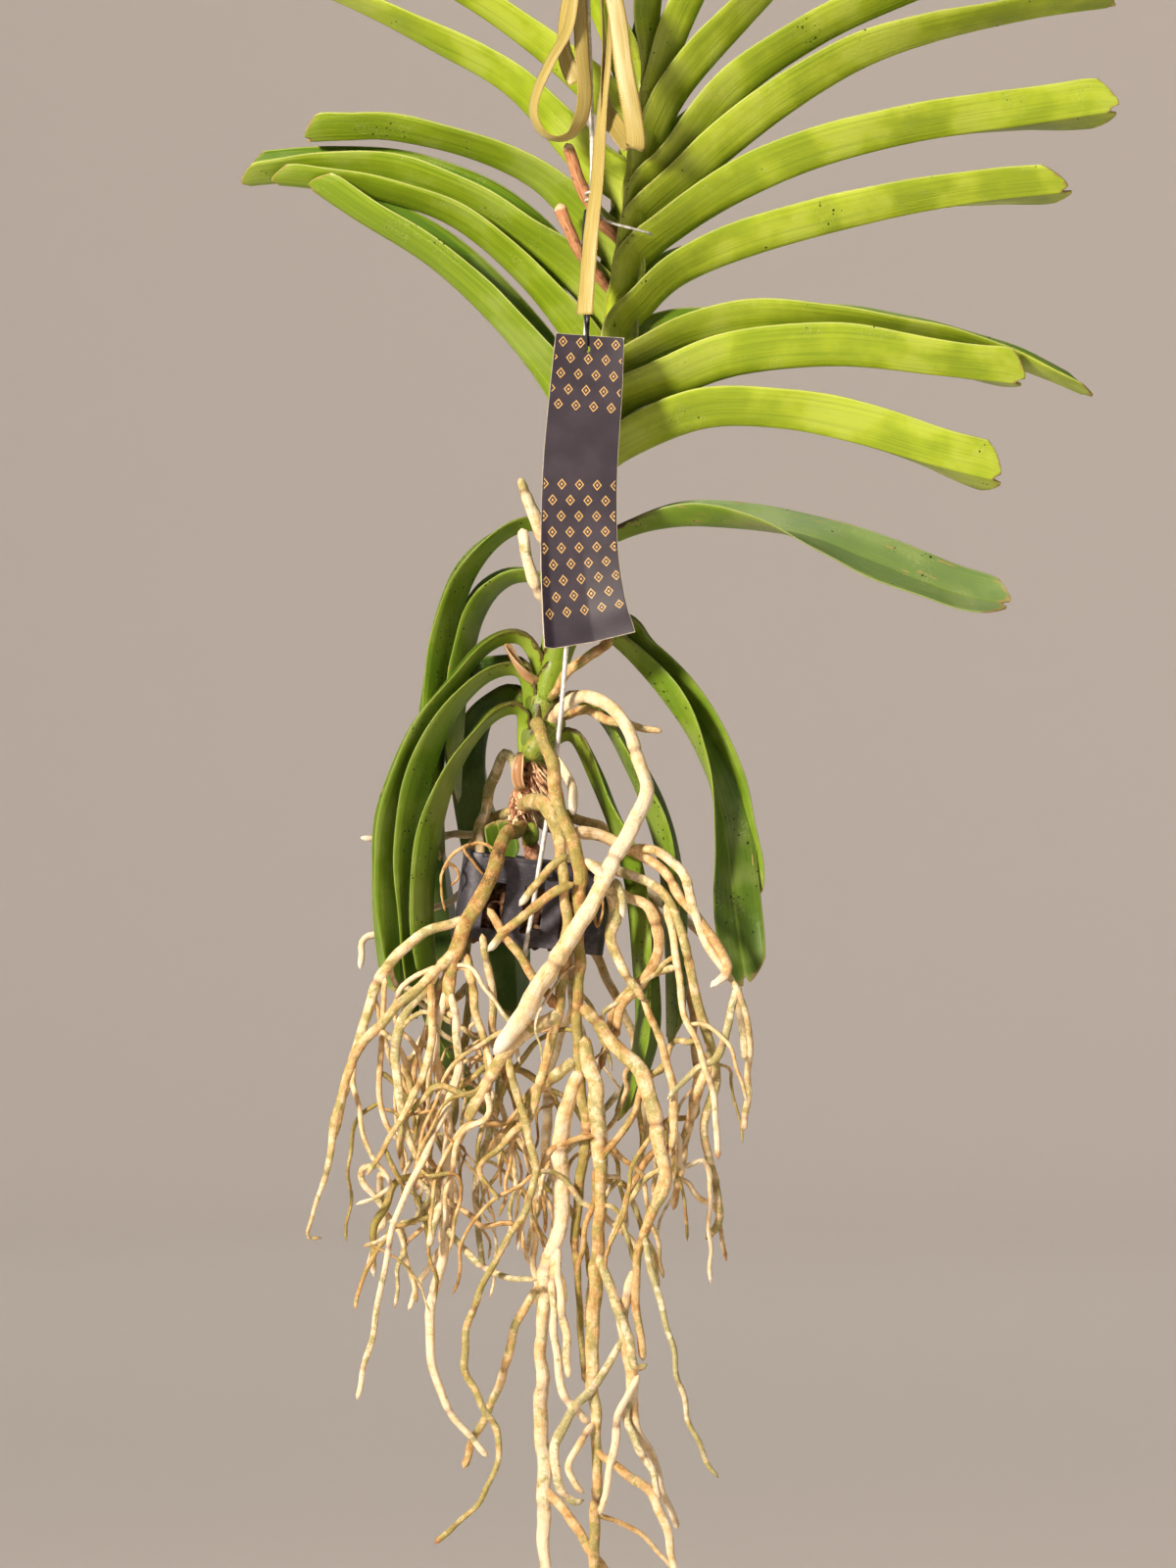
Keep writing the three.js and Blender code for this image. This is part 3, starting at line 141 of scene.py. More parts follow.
def spread(values, share):
    """Reads a short list of values, spaced evenly from start to end, at a share from 0 to 1."""
    return through(values, np.asarray(share) * (len(values) - 1))


print("curve length:", round(line_through([(0, 0, 0), (30, 0, 0), (60, 0, 0)], 1)[2][-1], 1))

# %% [markdown]
# ## From numbers to meshes
#
# A surface is a grid of points, worked out as whole arrays, which is far quicker than a loop over
# its vertices. Each corner carries how far around and along the piece it is, as its UV map. Other
# numbers, such as the distance to a leaf's margin, go with each point for the material to read.

# %% Mesh making
def cells(rows, columns, around):
    """The row and column of each cell of a grid of points. With around, the last column joins
    the first."""
    i, j = np.meshgrid(np.arange(rows - 1), np.arange(columns - (not around)), indexing="ij")
    return i.ravel(), j.ravel()


def grid_faces(rows, columns, around=True, flip=False):
    """Four-sided faces of a grid of points."""
    i, j = cells(rows, columns, around)
    k = (j + 1) % columns
    faces = np.stack([i * columns + j, i * columns + k, (i + 1) * columns + k,
                      (i + 1) * columns + j], axis=1)
    return faces[:, ::-1] if flip else faces


def grid_map(rows, columns, u, v, around=True, flip=False):
    """The UV corners that go with grid_faces. u has one column more than the grid when around."""
    i, j = cells(rows, columns, around)
    uv = np.stack([np.stack([u[a, b], v[a, b]], axis=1)
                   for a, b in ((i, j), (i, j + 1), (i + 1, j + 1), (i + 1, j))], axis=1)
    return uv[:, ::-1] if flip else uv


def patch(places, quads, quad_map=None, triangles=None, **values):
    """One closed surface in millimetres, with its faces, UV corners and per-point values."""
    triangles = np.zeros((0, 3), int) if triangles is None else np.asarray(triangles)
    quad_map = np.zeros((len(quads), 4, 2)) if quad_map is None else quad_map
    values = {key: np.broadcast_to(value, (len(places),)) for key, value in values.items()}
    return {"places": places, "quads": quads, "map": quad_map, "triangles": triangles,
            "values": values}


def marked(part, **values):
    """Gives every point of a patch the same values, in place of those that it had."""
    part["values"] = {key: np.full(len(part["places"]), value) for key, value in values.items()}
    return part


def mesh_of(name, patches):
    """Joins patches into one mesh, in metres, with smooth faces, a UV map and attributes."""
    base = np.cumsum([0] + [len(p["places"]) for p in patches])
    places = np.concatenate([p["places"] for p in patches]) * MM
    quads = np.concatenate([p["quads"] + b for p, b in zip(patches, base)])
    triangles = np.concatenate([p["triangles"] + b for p, b in zip(patches, base)])
    corner_map = np.concatenate([p["map"].reshape(-1, 2) for p in patches])
    corner_map = np.concatenate([corner_map, np.zeros((3 * len(triangles), 2))]) * MM
    mesh = bpy.data.meshes.new(name)
    mesh.from_pydata(places, [], [*quads.tolist(), *triangles.tolist()])
    mesh.uv_layers.new(name="surface").data.foreach_set("uv", corner_map.ravel())
    for key in patches[0]["values"]:
        numbers = np.concatenate([p["values"][key] for p in patches])
        mesh.attributes.new(key, "FLOAT", "POINT").data.foreach_set("value", numbers)
    mesh.shade_smooth()
    mesh.validate()
    return mesh


def piece(name, patches, material, stands_for=()):
    """Makes the object, gives it its material, and hides the solids that it dresses."""
    obj = bpy.data.objects.new(name, mesh_of(name, patches))
    bpy.context.scene.collection.objects.link(obj)
    obj.data.materials.append(material)
    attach(obj, "root")
    if stands_for:
        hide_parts(*stands_for)
    return obj


def faces_in(obj):
    return len(obj.data.polygons)


# %% [markdown]
# ## Round things
#
# Roots, wires, cords and stubs are a ring of points carried along a line. The ring's sideways
# direction comes from one fixed direction for the whole line, the one that it turns towards
# least, so the ring never spins. The radius may change along and around, for joints and swellings.

# %% Tubes
WAVES = 6                    # sine waves in a ripple


def sideways(forward):
    """A fixed direction, the one that stays furthest from the line, made square to the line."""
    choices = unit(np.array([(x, y, z) for x in (-1, 0, 1) for y in (0, 1, 2) for z in (-1, 0, 1)
                             if (x, y, z) != (0, 0, 0)], float))
    nearest = np.abs(forward @ choices.T).max(axis=0)
    fixed = choices[np.argmin(nearest)]
    across = unit(np.cross(np.broadcast_to(fixed, forward.shape), forward))
    return across, np.cross(forward, across)


def ripple(x, y, seed):
    """Smooth bumps between about -1 and 1: a sum of sine waves in seeded directions."""
    draw = np.random.default_rng(seed)
    total = 0
    for _ in range(WAVES):
        a, b, phase = draw.uniform(-1.5, 1.5), draw.uniform(0.5, 1.6), draw.uniform(0, 2 * np.pi)
        total = total + np.sin(np.round(a) * x + b * y + phase)
    return total / np.sqrt(WAVES * 2)


def fans(rows, columns):
    """Triangles that close both ends of a grid, to two poles: the two points after the grid's."""
    j = np.arange(columns)
    k = (j + 1) % columns
    last = (rows - 1) * columns
    pole = np.full(columns, rows * columns)
    return np.concatenate([np.stack([pole, k, j], axis=1),
                           np.stack([pole + 1, last + j, last + k], axis=1)])


def wandering(places, forward, run, reach, seed):
    """Lets a line stray from its course by up to reach, in slow bends that fade at its ends."""
    across, up = sideways(forward)
    held = (smooth(0, 10, run) * smooth(0, 10, run[-1] - run))[:, None]
    places = places + reach * held * (ripple(0, run / 5, seed)[:, None] * across
                                      + ripple(0, run / 5, seed + 1)[:, None] * up)
    return places, unit(np.gradient(places, axis=0))


def tube(points, radii, sides=12, step=3.0, blunt=1.0, shape=None, wander=None, marks=None,
         **values):
    """A closed round skin along a line.

    Each ring is the line's place plus the radius times (cosine across, sine up). The radius
    follows the list of radii, and near both ends it falls off as a quarter ellipse whose length
    is blunt times the radius. shape(turn, run) multiplies it, for joints and swellings, and
    marks(run, left) gives values to its points, from the lengths behind and ahead of them."""
    places, forward, run, rows = line_through(points, step)
    if wander is not None:
        places, forward = wandering(places, forward, run, *wander)
    length = run[-1]
    radius = spread(radii, rows / rows[-1])
    reach = np.minimum(blunt * radius, length / 3)
    inset = np.minimum(np.minimum(run, length - run) / reach, 1)
    radius = radius * np.sqrt(np.maximum(1 - (1 - inset) ** 2, 0.02))
    across, up = sideways(forward)
    turn = np.linspace(0, 2 * np.pi, sides + 1)
    thick = np.repeat(radius[:, None], sides + 1, axis=1)
    if shape is not None:
        thick = thick * shape(turn[None, :], run[:, None])
    ring = thick[:, :sides, None] * (np.cos(turn[:sides])[None, :, None] * across[:, None]
                                     + np.sin(turn[:sides])[None, :, None] * up[:, None])
    body = (places[:, None] + ring).reshape(-1, 3)
    count = len(run)
    around = np.repeat((turn * radius.mean())[None, :], count, axis=0)
    along = np.repeat(run[:, None], sides + 1, axis=1)
    per_point = {"run": np.append(np.repeat(run, sides), [0, length]),
                 "left": np.append(np.repeat(length - run, sides), [length, 0])}
    if marks is not None:
        per_point.update(marks(**per_point))
    per_point.update(values)
    return patch(np.concatenate([body, places[[0, -1]]]), grid_faces(count, sides),
                 grid_map(count, sides, around, along), fans(count, sides), **per_point)


# %% [markdown]
# ## Materials
#
# A material is a small graph of nodes that starts from what the real surface is. Its colours are
# hex values, turned to the linear values that light is added up in. One helper adds any node with
# its settings and links, so a graph reads like a recipe: the patterns, with their sizes in
# millimetres, then the layers of colour from the bottom up, and last the relief.

# %% Material helpers
SOFT = {"interpolation_type": "SMOOTHSTEP"}      # a map range that starts and ends gently
PAINT = {"data_type": "RGBA"}                    # a mix of two colours
TIMES = {"operation": "MULTIPLY"}
PLUS = {"operation": "MULTIPLY_ADD"}             # the first times the second, plus the third


def linear(colour):
    """Turns an sRGB hex colour into linear red, green, blue and alpha."""
    parts = [int(colour[i:i + 2], 16) / 255 for i in (1, 3, 5)]
    return (*[c / 12.92 if c <= 0.04045 else ((c + 0.055) / 1.055) ** 2.4 for c in parts], 1.0)


def node(tree, kind, inputs=None, out=None, stops=None, **settings):
    """Adds a node with its settings and links, and gives one of its outputs: the named one, or
    the first that is live. An input is a number, a vector, a hex colour or a node's output."""
    made = tree.nodes.new("ShaderNode" + kind)
    for key, value in settings.items():
        setattr(made, key, value)
    for key, value in (inputs or {}).items():
        named = [socket for socket in made.inputs if socket.enabled and socket.name == key]
        socket = named[0] if named else made.inputs[key]
        if isinstance(value, bpy.types.NodeSocket):
            tree.links.new(value, socket)
        else:
            socket.default_value = linear(value) if isinstance(value, str) else value
    for place, (position, colour) in enumerate(stops or []):
        elements = made.color_ramp.elements
        stop = elements[place] if place < 2 else elements.new(position)
        stop.position = position
        stop.color = linear(colour)
    live = [socket for socket in made.outputs if socket.enabled and out in (None, socket.name)]
    return live[0] if live else None


def blank(name):
    """A new material with nothing in its graph, and the call that adds nodes to that graph."""
    material = bpy.data.materials.new(name)
    material.use_nodes = True
    material.node_tree.nodes.clear()
    return material, partial(node, material.node_tree)


def painted(add, colour, layers):
    """Lays colours over one another. Each layer is a mask, the share that it hides, a colour."""
    for mask, share, layer in layers:
        cover = add("Math", {0: mask, 1: share}, **TIMES)
        colour = add("Mix", {"Factor": cover, "A": colour, "B": layer}, **PAINT)
    return colour


def surfaced(add, colour, rough, heights, constants=None):
    """Ends a graph. heights pairs each pattern with what its 1 is worth in millimetres."""
    relief = 0.0
    for pattern, height in heights:
        relief = add("Math", {0: pattern, 1: height, 2: relief}, **PLUS)
    normal = add("Bump", {"Height": relief, "Distance": MM})
    shader = add("BsdfPrincipled", {"Base Color": colour, "Roughness": rough, "Normal": normal,
                                    **(constants or {})})
    add("OutputMaterial", {"Surface": shader})


print("helpers ready, one linear grey:", [round(c, 3) for c in linear("#808080")])

# %% [markdown]
# ### Leaf cuticle
#
# A vanda leaf is thick and leathery under a smooth wax skin, so its shine is soft and broad. Its
# veins run from end to end as fine light and dark lines, and its margin is a pale rim. The side
# that faces the stem is darker: partly its own deeper green, partly painted shade for the shadow
# inside the fold. Older leaves lose the yellow, and gather black fungus specks, dry tan scars and
# hairline scuffs. Leaves that hang in shadow get a darker green, which is painted shade. All of
# that hangs on values that the leaf's surface carries.

# %% Leaf material
def leaf_material(name, lit, shade, deep, rim_colour, dryness):
    """lit, shade: the outside's green where lit, and a darker green that tone mixes in at random
    and
    as painted shade. deep: the channel's green, partly painted shade. dryness: how dry and scarred,
    0 to 1.
    """
    material, add = blank(name)
    tone, inner, margin, tip, sheath, specks = [
        add("Attribute", out="Fac", attribute_name=key)
        for key in ("tone", "inner", "margin", "left", "sheath", "specks")]
    place = add("TexCoord", out="Object")
    flat = add("UVMap", uv_map="surface")
    drawn, smeared = [add("Mapping", {"Vector": flat, "Scale": (1, 1 / times, 1)})
                      for times in (70, 6)]
    # Each row: where the noise is read, its size in millimetres, its detail. Drawn out along the
    # blade it makes veins, one line a millimetre, and broader bands. Less drawn out, scrapes.
    veins, bands, patches, islands, ragged, scrapes = [
        add("TexNoise", {"Vector": where, "Scale": 1 / (size * MM), "Detail": detail})
        for where, size, detail in ((drawn, 1.0, 2), (drawn, 3.2, 2), (place, 30, 3),
                                    (place, 17, 4), (place, 3, 4), (smeared, 3, 4))]
    # The midrib is a distance from the middle line. The dry tip and an old foot's dead edge are
    # distances made ragged, and a hairline scuff is where noise crosses its mean.
    across = add("Math", {0: add("SeparateXYZ", {"Vector": flat})}, operation="ABSOLUTE")
    end = add("Math", {0: ragged, 1: 9.0, 2: tip}, **PLUS)
    torn = add("Math", {0: ragged, 1: 6.0, 2: margin}, **PLUS)
    crossing = add("Math", {0: ragged, 1: 0.5}, operation="SUBTRACT")
    crossing = add("Math", {0: crossing}, operation="ABSOLUTE")
    # Black specks are round cells of chance size.
    cells = add("TexVoronoi", {"Vector": place, "Scale": 1 / (2.3 * MM)})
    chance = add("SeparateXYZ", {"Vector": cells.node.outputs["Color"]})
    reach = add("Math", {0: chance, 1: 0.55, 2: -0.2}, **PLUS)
    inside = add("Math", {0: reach, 1: cells}, operation="SUBTRACT")
    # Each row: a pattern, where its mask starts, where the mask is full. A dry leaf scars more.
    scars, sun = 0.1 * dryness**2, 0.14 * dryness
    (dark_vein, pale_vein, dark_band, pale_band, yellowed, bloom, rib, rim, near_rim, dry_tip, torn,
     scar, open_to_sun, hairline, rubbed_and_sheen, black) = [
        add("MapRange", {"Value": pattern, "From Min": start, "From Max": full}, **SOFT)
        for pattern, start, full in (
            (veins, 0.50, 0.34), (veins, 0.53, 0.70), (bands, 0.52, 0.34), (bands, 0.52, 0.68),
            (patches, 0.4, 0.64), (patches, 0.52, 0.36), (across, 1.1 * MM, 0.3 * MM),
            (margin, 0.7, 0.3), (margin, 7, 2), (end, 6.4 + 3 * dryness, 4.2), (torn, 5.6, 4.2),
            (scrapes, 0.71 - scars, 0.73 - scars), (islands, 0.62 - sun, 0.68 - sun),
            (crossing, 0.014, 0.004), (islands, 0.54, 0.62), (inside, 0.0, 0.06))]
    # Specks gather in islands and along the rim of the foot, scars near the rim and in the sun.
    foot_rim = add("Math", {0: sheath, 1: near_rim}, **TIMES)
    gather = add("Math", {0: specks, 1: 0.22, 2: islands}, **PLUS)
    gather = add("Math", {0: foot_rim, 1: 0.08, 2: gather}, **PLUS)
    gather = add("MapRange", {"Value": gather, "From Min": 0.60, "From Max": 0.66}, **SOFT)
    exposed = add("Math", {0: near_rim, 1: open_to_sun}, operation="MAXIMUM")
    black, scar, hairline, crusted = [
        add("Math", {0: mask, 1: where}, **TIMES) for mask, where in (
            (black, gather), (scar, exposed), (hairline, rubbed_and_sheen), (sheath, torn))]
    # Painted shade: the inner face takes most of the deep green, partly its own darker colour and
    # partly the shadow inside the fold. tone darkens leaves that hang in shadow.
    colour = painted(add, lit, [
        (tone, 1.0, shade), (yellowed, 0.55, shade), (inner, 0.72, deep), (sheath, 0.2, "#b9c03c"),
        (bloom, 0.1, "#dfe6a8"), (dark_band, 0.13, deep), (pale_band, 0.2, lit),
        (dark_vein, 0.14, deep), (pale_vein, 0.18, lit), (rib, 0.4, lit), (rim, 0.45, rim_colour),
        (crusted, 1.8 * dryness, "#4d331d"), (hairline, 0.25, "#dcdcae"),
        (dry_tip, 0.85, "#a98f5a"), (scar, 0.9, "#b0925e"), (black, 0.92, "#17150a")])
    # Wax: a broad soft shine, dulled by the veins, the scars and the dry tip.
    rough = add("MapRange", {"Value": veins, "From Min": 0.3, "From Max": 0.7, "To Min": 0.32,
                             "To Max": 0.44})
    wear_and_sheen = add("Math", {0: scar, 1: dry_tip}, operation="MAXIMUM")
    rough = add("Mix", {"Factor": wear_and_sheen, "A": rough, "B": 0.85})
    surfaced(add, colour, rough, [(veins, 0.10), (bands, 0.30), (ragged, 0.10), (black, -0.12)], {
        "IOR": 1.45, "Specular IOR Level": 0.4, "Subsurface Weight": 0.10,
        "Subsurface Radius": (0.5, 1.0, 0.15), "Subsurface Scale": 1.5 * MM})
    return material


fresh_leaf = leaf_material("fresh vanda leaf, waxed cuticle", "#bcce36", "#75901a", "#3d6a16",
                           "#d3d684", 0.15)
old_leaf = leaf_material("old vanda leaf, dark and specked", "#86a02d", "#587c1e", "#38570f",
                         "#8f9a45", 0.5)
# The rearmost leaves hang in deep shadow behind the others: their nearly black green is painted
# shade.
shadowed_rear_leaf = leaf_material("oldest vanda leaf, nearly black green", "#41611f", "#304c17", "#1f340e",
                          "#5c6a30", 0.5)
scarred_leaf = leaf_material("old vanda leaf, dusty and scarred", "#86a02d", "#5c7f26", "#71895a",
                             "#b0b47a", 0.9)
dry_sheath = leaf_material("dead leaf sheath, papery", "#e6bd90", "#c48d60", "#8d5a36", "#f0dab2",
                           0.5)
print("leaf materials:", fresh_leaf.name, "|", old_leaf.name)

# %% [markdown]
# ## Stem line and leaf table
#
# The leaves stand in two ranks, left and right by turns. Each starts as a sheath that wraps the
# stem and the younger sheaths, so a leaf is one long surface: a U round the stem that opens into
# a folded blade. The tables give each blade's half width in millimetres, how far its fold is open
# and how it leans, from base to tip, and its midrib's line.

# %% Leaf table
RIGHT = 1
LEFT = -1
STEM_LINE = [(30, 32, -232), (27, 32, -275), (22, 32, -320), (15, 32, -360), (6, 33, -400),
             (-1, 33, -450), (-8, 34, -500), (-16, 35, -530), (-22, 36, -552), (-28, 38, -586)]

# Each row, from the top of the rank down: half width, open angles, lean angles, midrib. A point
# of two numbers lies in the plane of the ranks.
LEAF_PLANE = 32
# An old blade opens where it bends down, and closes again below.
BENT = (60, 115, 85, 84, 90, 105)
BENT_OPEN = (60, 125, 85, 80, 84, 95)
BENT_FLAT = (60, 130, 100, 92, 98, 110)
RIGHT_LEAVES = [
    (16, (34, 80, 130), (-8, 0, 10), [(30, -240), (36, -200), (45, -160), (62, -120),
     (84, 28, -88)]),
    (18, (34, 80, 130), (-8, -5, -10), [(31, -256), (46, -224), (62, -188), (84, -150),
     (110, 35, -118), (140, 38, -96)]),
    (20, (34, 80, 140), (-8, -5, 10), [(29, -275), (50, -245), (80, -210), (112, -177), (148, -148),
     (182, 28, -128)]),
    (21, (34, 80, 140), (-8, -5, -12), [(27, -298), (45, -284), (80, -245), (120, -217),
     (160, -198), (205, 36, -181), (242, 40, -173)]),
    (22, (34, 80, 140), (-8, -5, -5), [(26, -313), (60, -287), (100, -255), (140, -230),
     (180, -215), (230, 35, -203), (274, 40, -196)]),
    (22, (34, 80, 115), (-8, -15, -47), [(24, -333), (50, -315), (80, -297), (120, -280),
     (170, -267), (225, 29, -259), (274, 26, -252)]),
    (21, (34, 80, 120), (-8, -11, -30), [(18, -368), (30, -358), (50, -340), (90, -324),
     (150, -308), (200, 28, -299), (249, 24, -294)]),
    (22, (45, 80, 130), (0, 5, 10), [(12, -394), (26, -384), (52, -373), (90, -366),
     (130, 34, -366), (170, 37, -371), (205, 40, -378), (235, 41, -388), (261, 42, -399)]),
    (24, (34, 70, 110), (-8, -13, -30), [(8, -416), (22, -406), (46, -398), (80, -387),
     (130, 30, -383), (180, 28, -388), (225, 26, -393)]),
    (23, (34, 75, 115), (-8, -15, -48), [(5, 33, -442), (22, 33, -430), (60, -415), (100, -415),
     (140, -423), (178, -434), (214, 34, -443)]),
    (20, (60, 84, 135, 124, 120), (5, 5, 24, 44, 52), [(0, 33, -481), (16, 33, -473), (36, -467),
     (62, -465.5), (108, -471), (147, 28, -485.5), (170, 25, -495), (192, 23, -503),
     (217, 22, -508)]),
    (20, (50, 90, 95, 95), (5, 0, -5, 0), [(-6, 34, -510), (18, 37, -519), (26, 40, -531),
     (45, 44, -553), (61, 46, -578), (70, 46, -598), (75, 46, -614), (81, 45, -640),
     (83.5, 44, -662)]),
    (16, (50, 100, 110, 115), (0, 0, 55, 80), [(-12, 34, -524), (4, -521), (16, 31, -529),
     (29.5, 30, -543), (43, 29, -560), (54, 29, -577), (64, 29, -600), (70, 29, -622),
     (74.5, 30, -657), (81.5, 30, -704)]),
    (19, BENT_FLAT, (0, 8, 10), [(-19, 36, -564), (-6, 38, -557), (8, 42, -568),
     (21, 44, -592), (31, 46, -616), (38, 46, -643), (41, 46, -680), (42, 46, -735)]),
    (20, BENT_FLAT, (0, 5, 10), [(-22, 37, -580), (-8, 36, -577), (2, -597),
     (12, 28, -622), (20, 24, -650), (24, 22, -690), (25, 24, -730), (14, 26, -773)]),
]
LEFT_LEAVES = [
    (17, (50, 90, 130), (0, 5, 10), [(17, -242), (4, -205), (-16, -168), (-46, -134),
     (-82, 29, -108)]),
    (20, (50, 90, 140), (0, 0, 8), [(21, -272), (-2, -246), (-32, -219), (-70, -193), (-115, -172),
     (-160, 28, -158)]),
    (21, (50, 90, 140), (0, 2, 8), [(18, -300), (-5, -284), (-40, -244), (-80, -220), (-118, -200),
     (-155, -185), (-192, 28, -177)]),
    (20, (50, 90, 110), (4, 0, -20), [(14, -332), (-2, -319), (-27, -292), (-60, 30, -276),
     (-100, 28, -267), (-125, 27, -267), (-146, 26, -268)]),
    (22, (50, 52, 48), (4, 14, 17), [(12, -364), (-4, -350), (-30, -325), (-60, -304),
     (-100, 33, -290), (-140, 34, -287), (-179, 35, -290)]),
    (19, (50, 66, 70), (4, 12, 12), [(7, -392), (-10, -372), (-35, 31, -340), (-70, 29, -311),
     (-110, 27, -297), (-142, 26, -292), (-163, 25, -290)]),
    (22, (50, 46, 44), (4, 16, 18), [(0, -430), (-20, -399), (-45, 30, -366), (-80, 27, -333),
     (-120, 23, -308), (-144, 21, -292)]),
    (20, BENT, (0, 5, 10), [(-10, 34, -488), (-21, 36, -470), (-34, 41, -468),
     (-48, 48, -476), (-60, 55, -492), (-67, 60, -512), (-73, 65, -542), (-77, 68, -585),
     (-76, 68, -640)]),
    (17, BENT, (0, 5, 8), [(-14, 34, -514), (-24, 37, -497), (-36, 44, -494),
     (-47, 52, -500), (-55, 58, -512), (-60, 62, -528), (-65, 66, -556), (-68, 68, -610)]),
    (21, BENT_OPEN, (0, 5, 8), [(-22, 35, -540), (-36, 35, -526), (-52, 35, -531),
     (-68, 35, -551), (-84, 34, -582), (-93, 33, -605), (-98, 33, -628), (-99, -662),
     (-98, 31, -707)]),
    (21, BENT_OPEN, (0, 6, 10), [(-25, 36, -558), (-36, 35, -543), (-52, 34, -546),
     (-68, 33, -563), (-79, -588), (-87, 31, -620), (-90, 30, -664), (-88, 29, -721)]),
    (19, BENT_OPEN, (0, 6, 10), [(-27, 37, -576), (-36, 34, -563), (-48, -566),
     (-61, 30, -581), (-71, 28, -602), (-78, 27, -632), (-81, 26, -664), (-78, 25, -700),
     (-68, 25, -735), (-50, 24, -772)]),
    (18, (60, 100, 120), (0, -40, -60), [(-28, 40, -566), (-40, 60, -556), (-52, 82, -568),
     (-56, 100, -592), (-52, 110, -622), (-46, 114, -650), (-40, 114, -690), (-38, 110, -726)]),
    (18, (60, 100, 120), (0, -30, -40), [(-22, 41, -552), (-38, 60, -541), (-58, 80, -548),
     (-74, 93, -575), (-80, 100, -612), (-77, 104, -650), (-72, 104, -700)]),
]
LEAF_STUB = (9, (120, 150), (60, 70), [(-43, 38, -643), (-45, 38, -631), (-48, 38, -619)])
FRESH = {RIGHT: 10, LEFT: 7}         # so many leaves of each rank are young, the rest are old

LEAVES = {}
for side, rank, rows in ((RIGHT, "right", RIGHT_LEAVES), (LEFT, "left", LEFT_LEAVES)):
    for number, row in enumerate(rows, 1):
        age = "fresh" if number <= FRESH[side] else "old"
        LEAVES[f"leaf_{rank}_{number:02}"] = (side, age, *row)
LEAVES["leaf_stub"] = (LEFT, "old", *LEAF_STUB)
print("leaves:", len(LEAVES))

# %% [markdown]
# ## The blade's surface
#
# The blade's section is worked out by its direction, not its place: it comes in along one half,
# turns quickly at the midrib and leaves along the other. Adding the directions up gives a fold
# with a rounded bottom, and the sheath's U where the turn is spread over the whole width.

# %% Leaf surface
SHEATH_LENGTH = 34           # how far the sheath runs down the stem
SHEATH_TOP = 8.8             # radius of its bend where the blade leaves it
SHEATH_FOOT = 6.3            # and where it joins the stem, inside the older sheaths
SHEATH_WRAP = np.radians(155)     # how far round the stem each half goes
SHEATH_LAP = 0.8             # the right rank's sheaths lap over the left rank's
STEM_END = -592              # no sheath grows below this height
LEAF_STEP = 2.6              # along the blade
ACROSS = 25                  # points from margin to margin
KEEL = 1.25                  # half of the thickness at the midrib
RIM = 0.42                   # half of the thickness at the margin
RIDGE = 0.5                  # height of the keel's edge behind the midrib
GROOVE = 0.35                # depth of the groove in front of it
BULGE = np.radians(9)        # how far each half arches between midrib and margin
SWAY = np.radians(2.5)       # slow turns of the fold along the blade
NOTCH, LOBES, UNEVEN = 0.02, 0.045, 0.012     # the tip's outline, in shares of the length


def stem_at(z):
    """The stem's middle at a height: its x and y, read from the stem's line."""
    line = np.array(STEM_LINE, float)[::-1]
    return np.array([np.interp(z, line[:, 2], line[:, 0]), np.interp(z, line[:, 2], line[:, 1]), z])


def with_sheath(rib, side):
    """Puts the sheath's keel line under the midrib: three points up the outside of the stem."""
    base = np.array(rib[0], float)
    length = min(SHEATH_LENGTH, base[2] - STEM_END)
    outside = [stem_at(base[2] - share * length)
               + (side * mix(SHEATH_TOP, SHEATH_FOOT, share), -side * SHEATH_LAP, 0)
               for share in (1, 0.5, 0)]
    if side * (base[0] - outside[2][0]) > 0:
        outside[2] = base
    return np.array([*outside, *rib[1:]], float)


def leaf_width(t, foot, shoulder):
    """Share of the full width: foot at the base, full by 0.35, then a long taper, and from the
    shoulder on a round end."""
    base = mix(foot, 1, smooth(0.02, 0.35, t))
    taper = mix(1, 0.84, smooth(0.55, 0.92, t))
    return base * taper * np.sqrt(1 - 0.8 * np.clip((t - shoulder) / (1 - shoulder), 0, 1) ** 3)


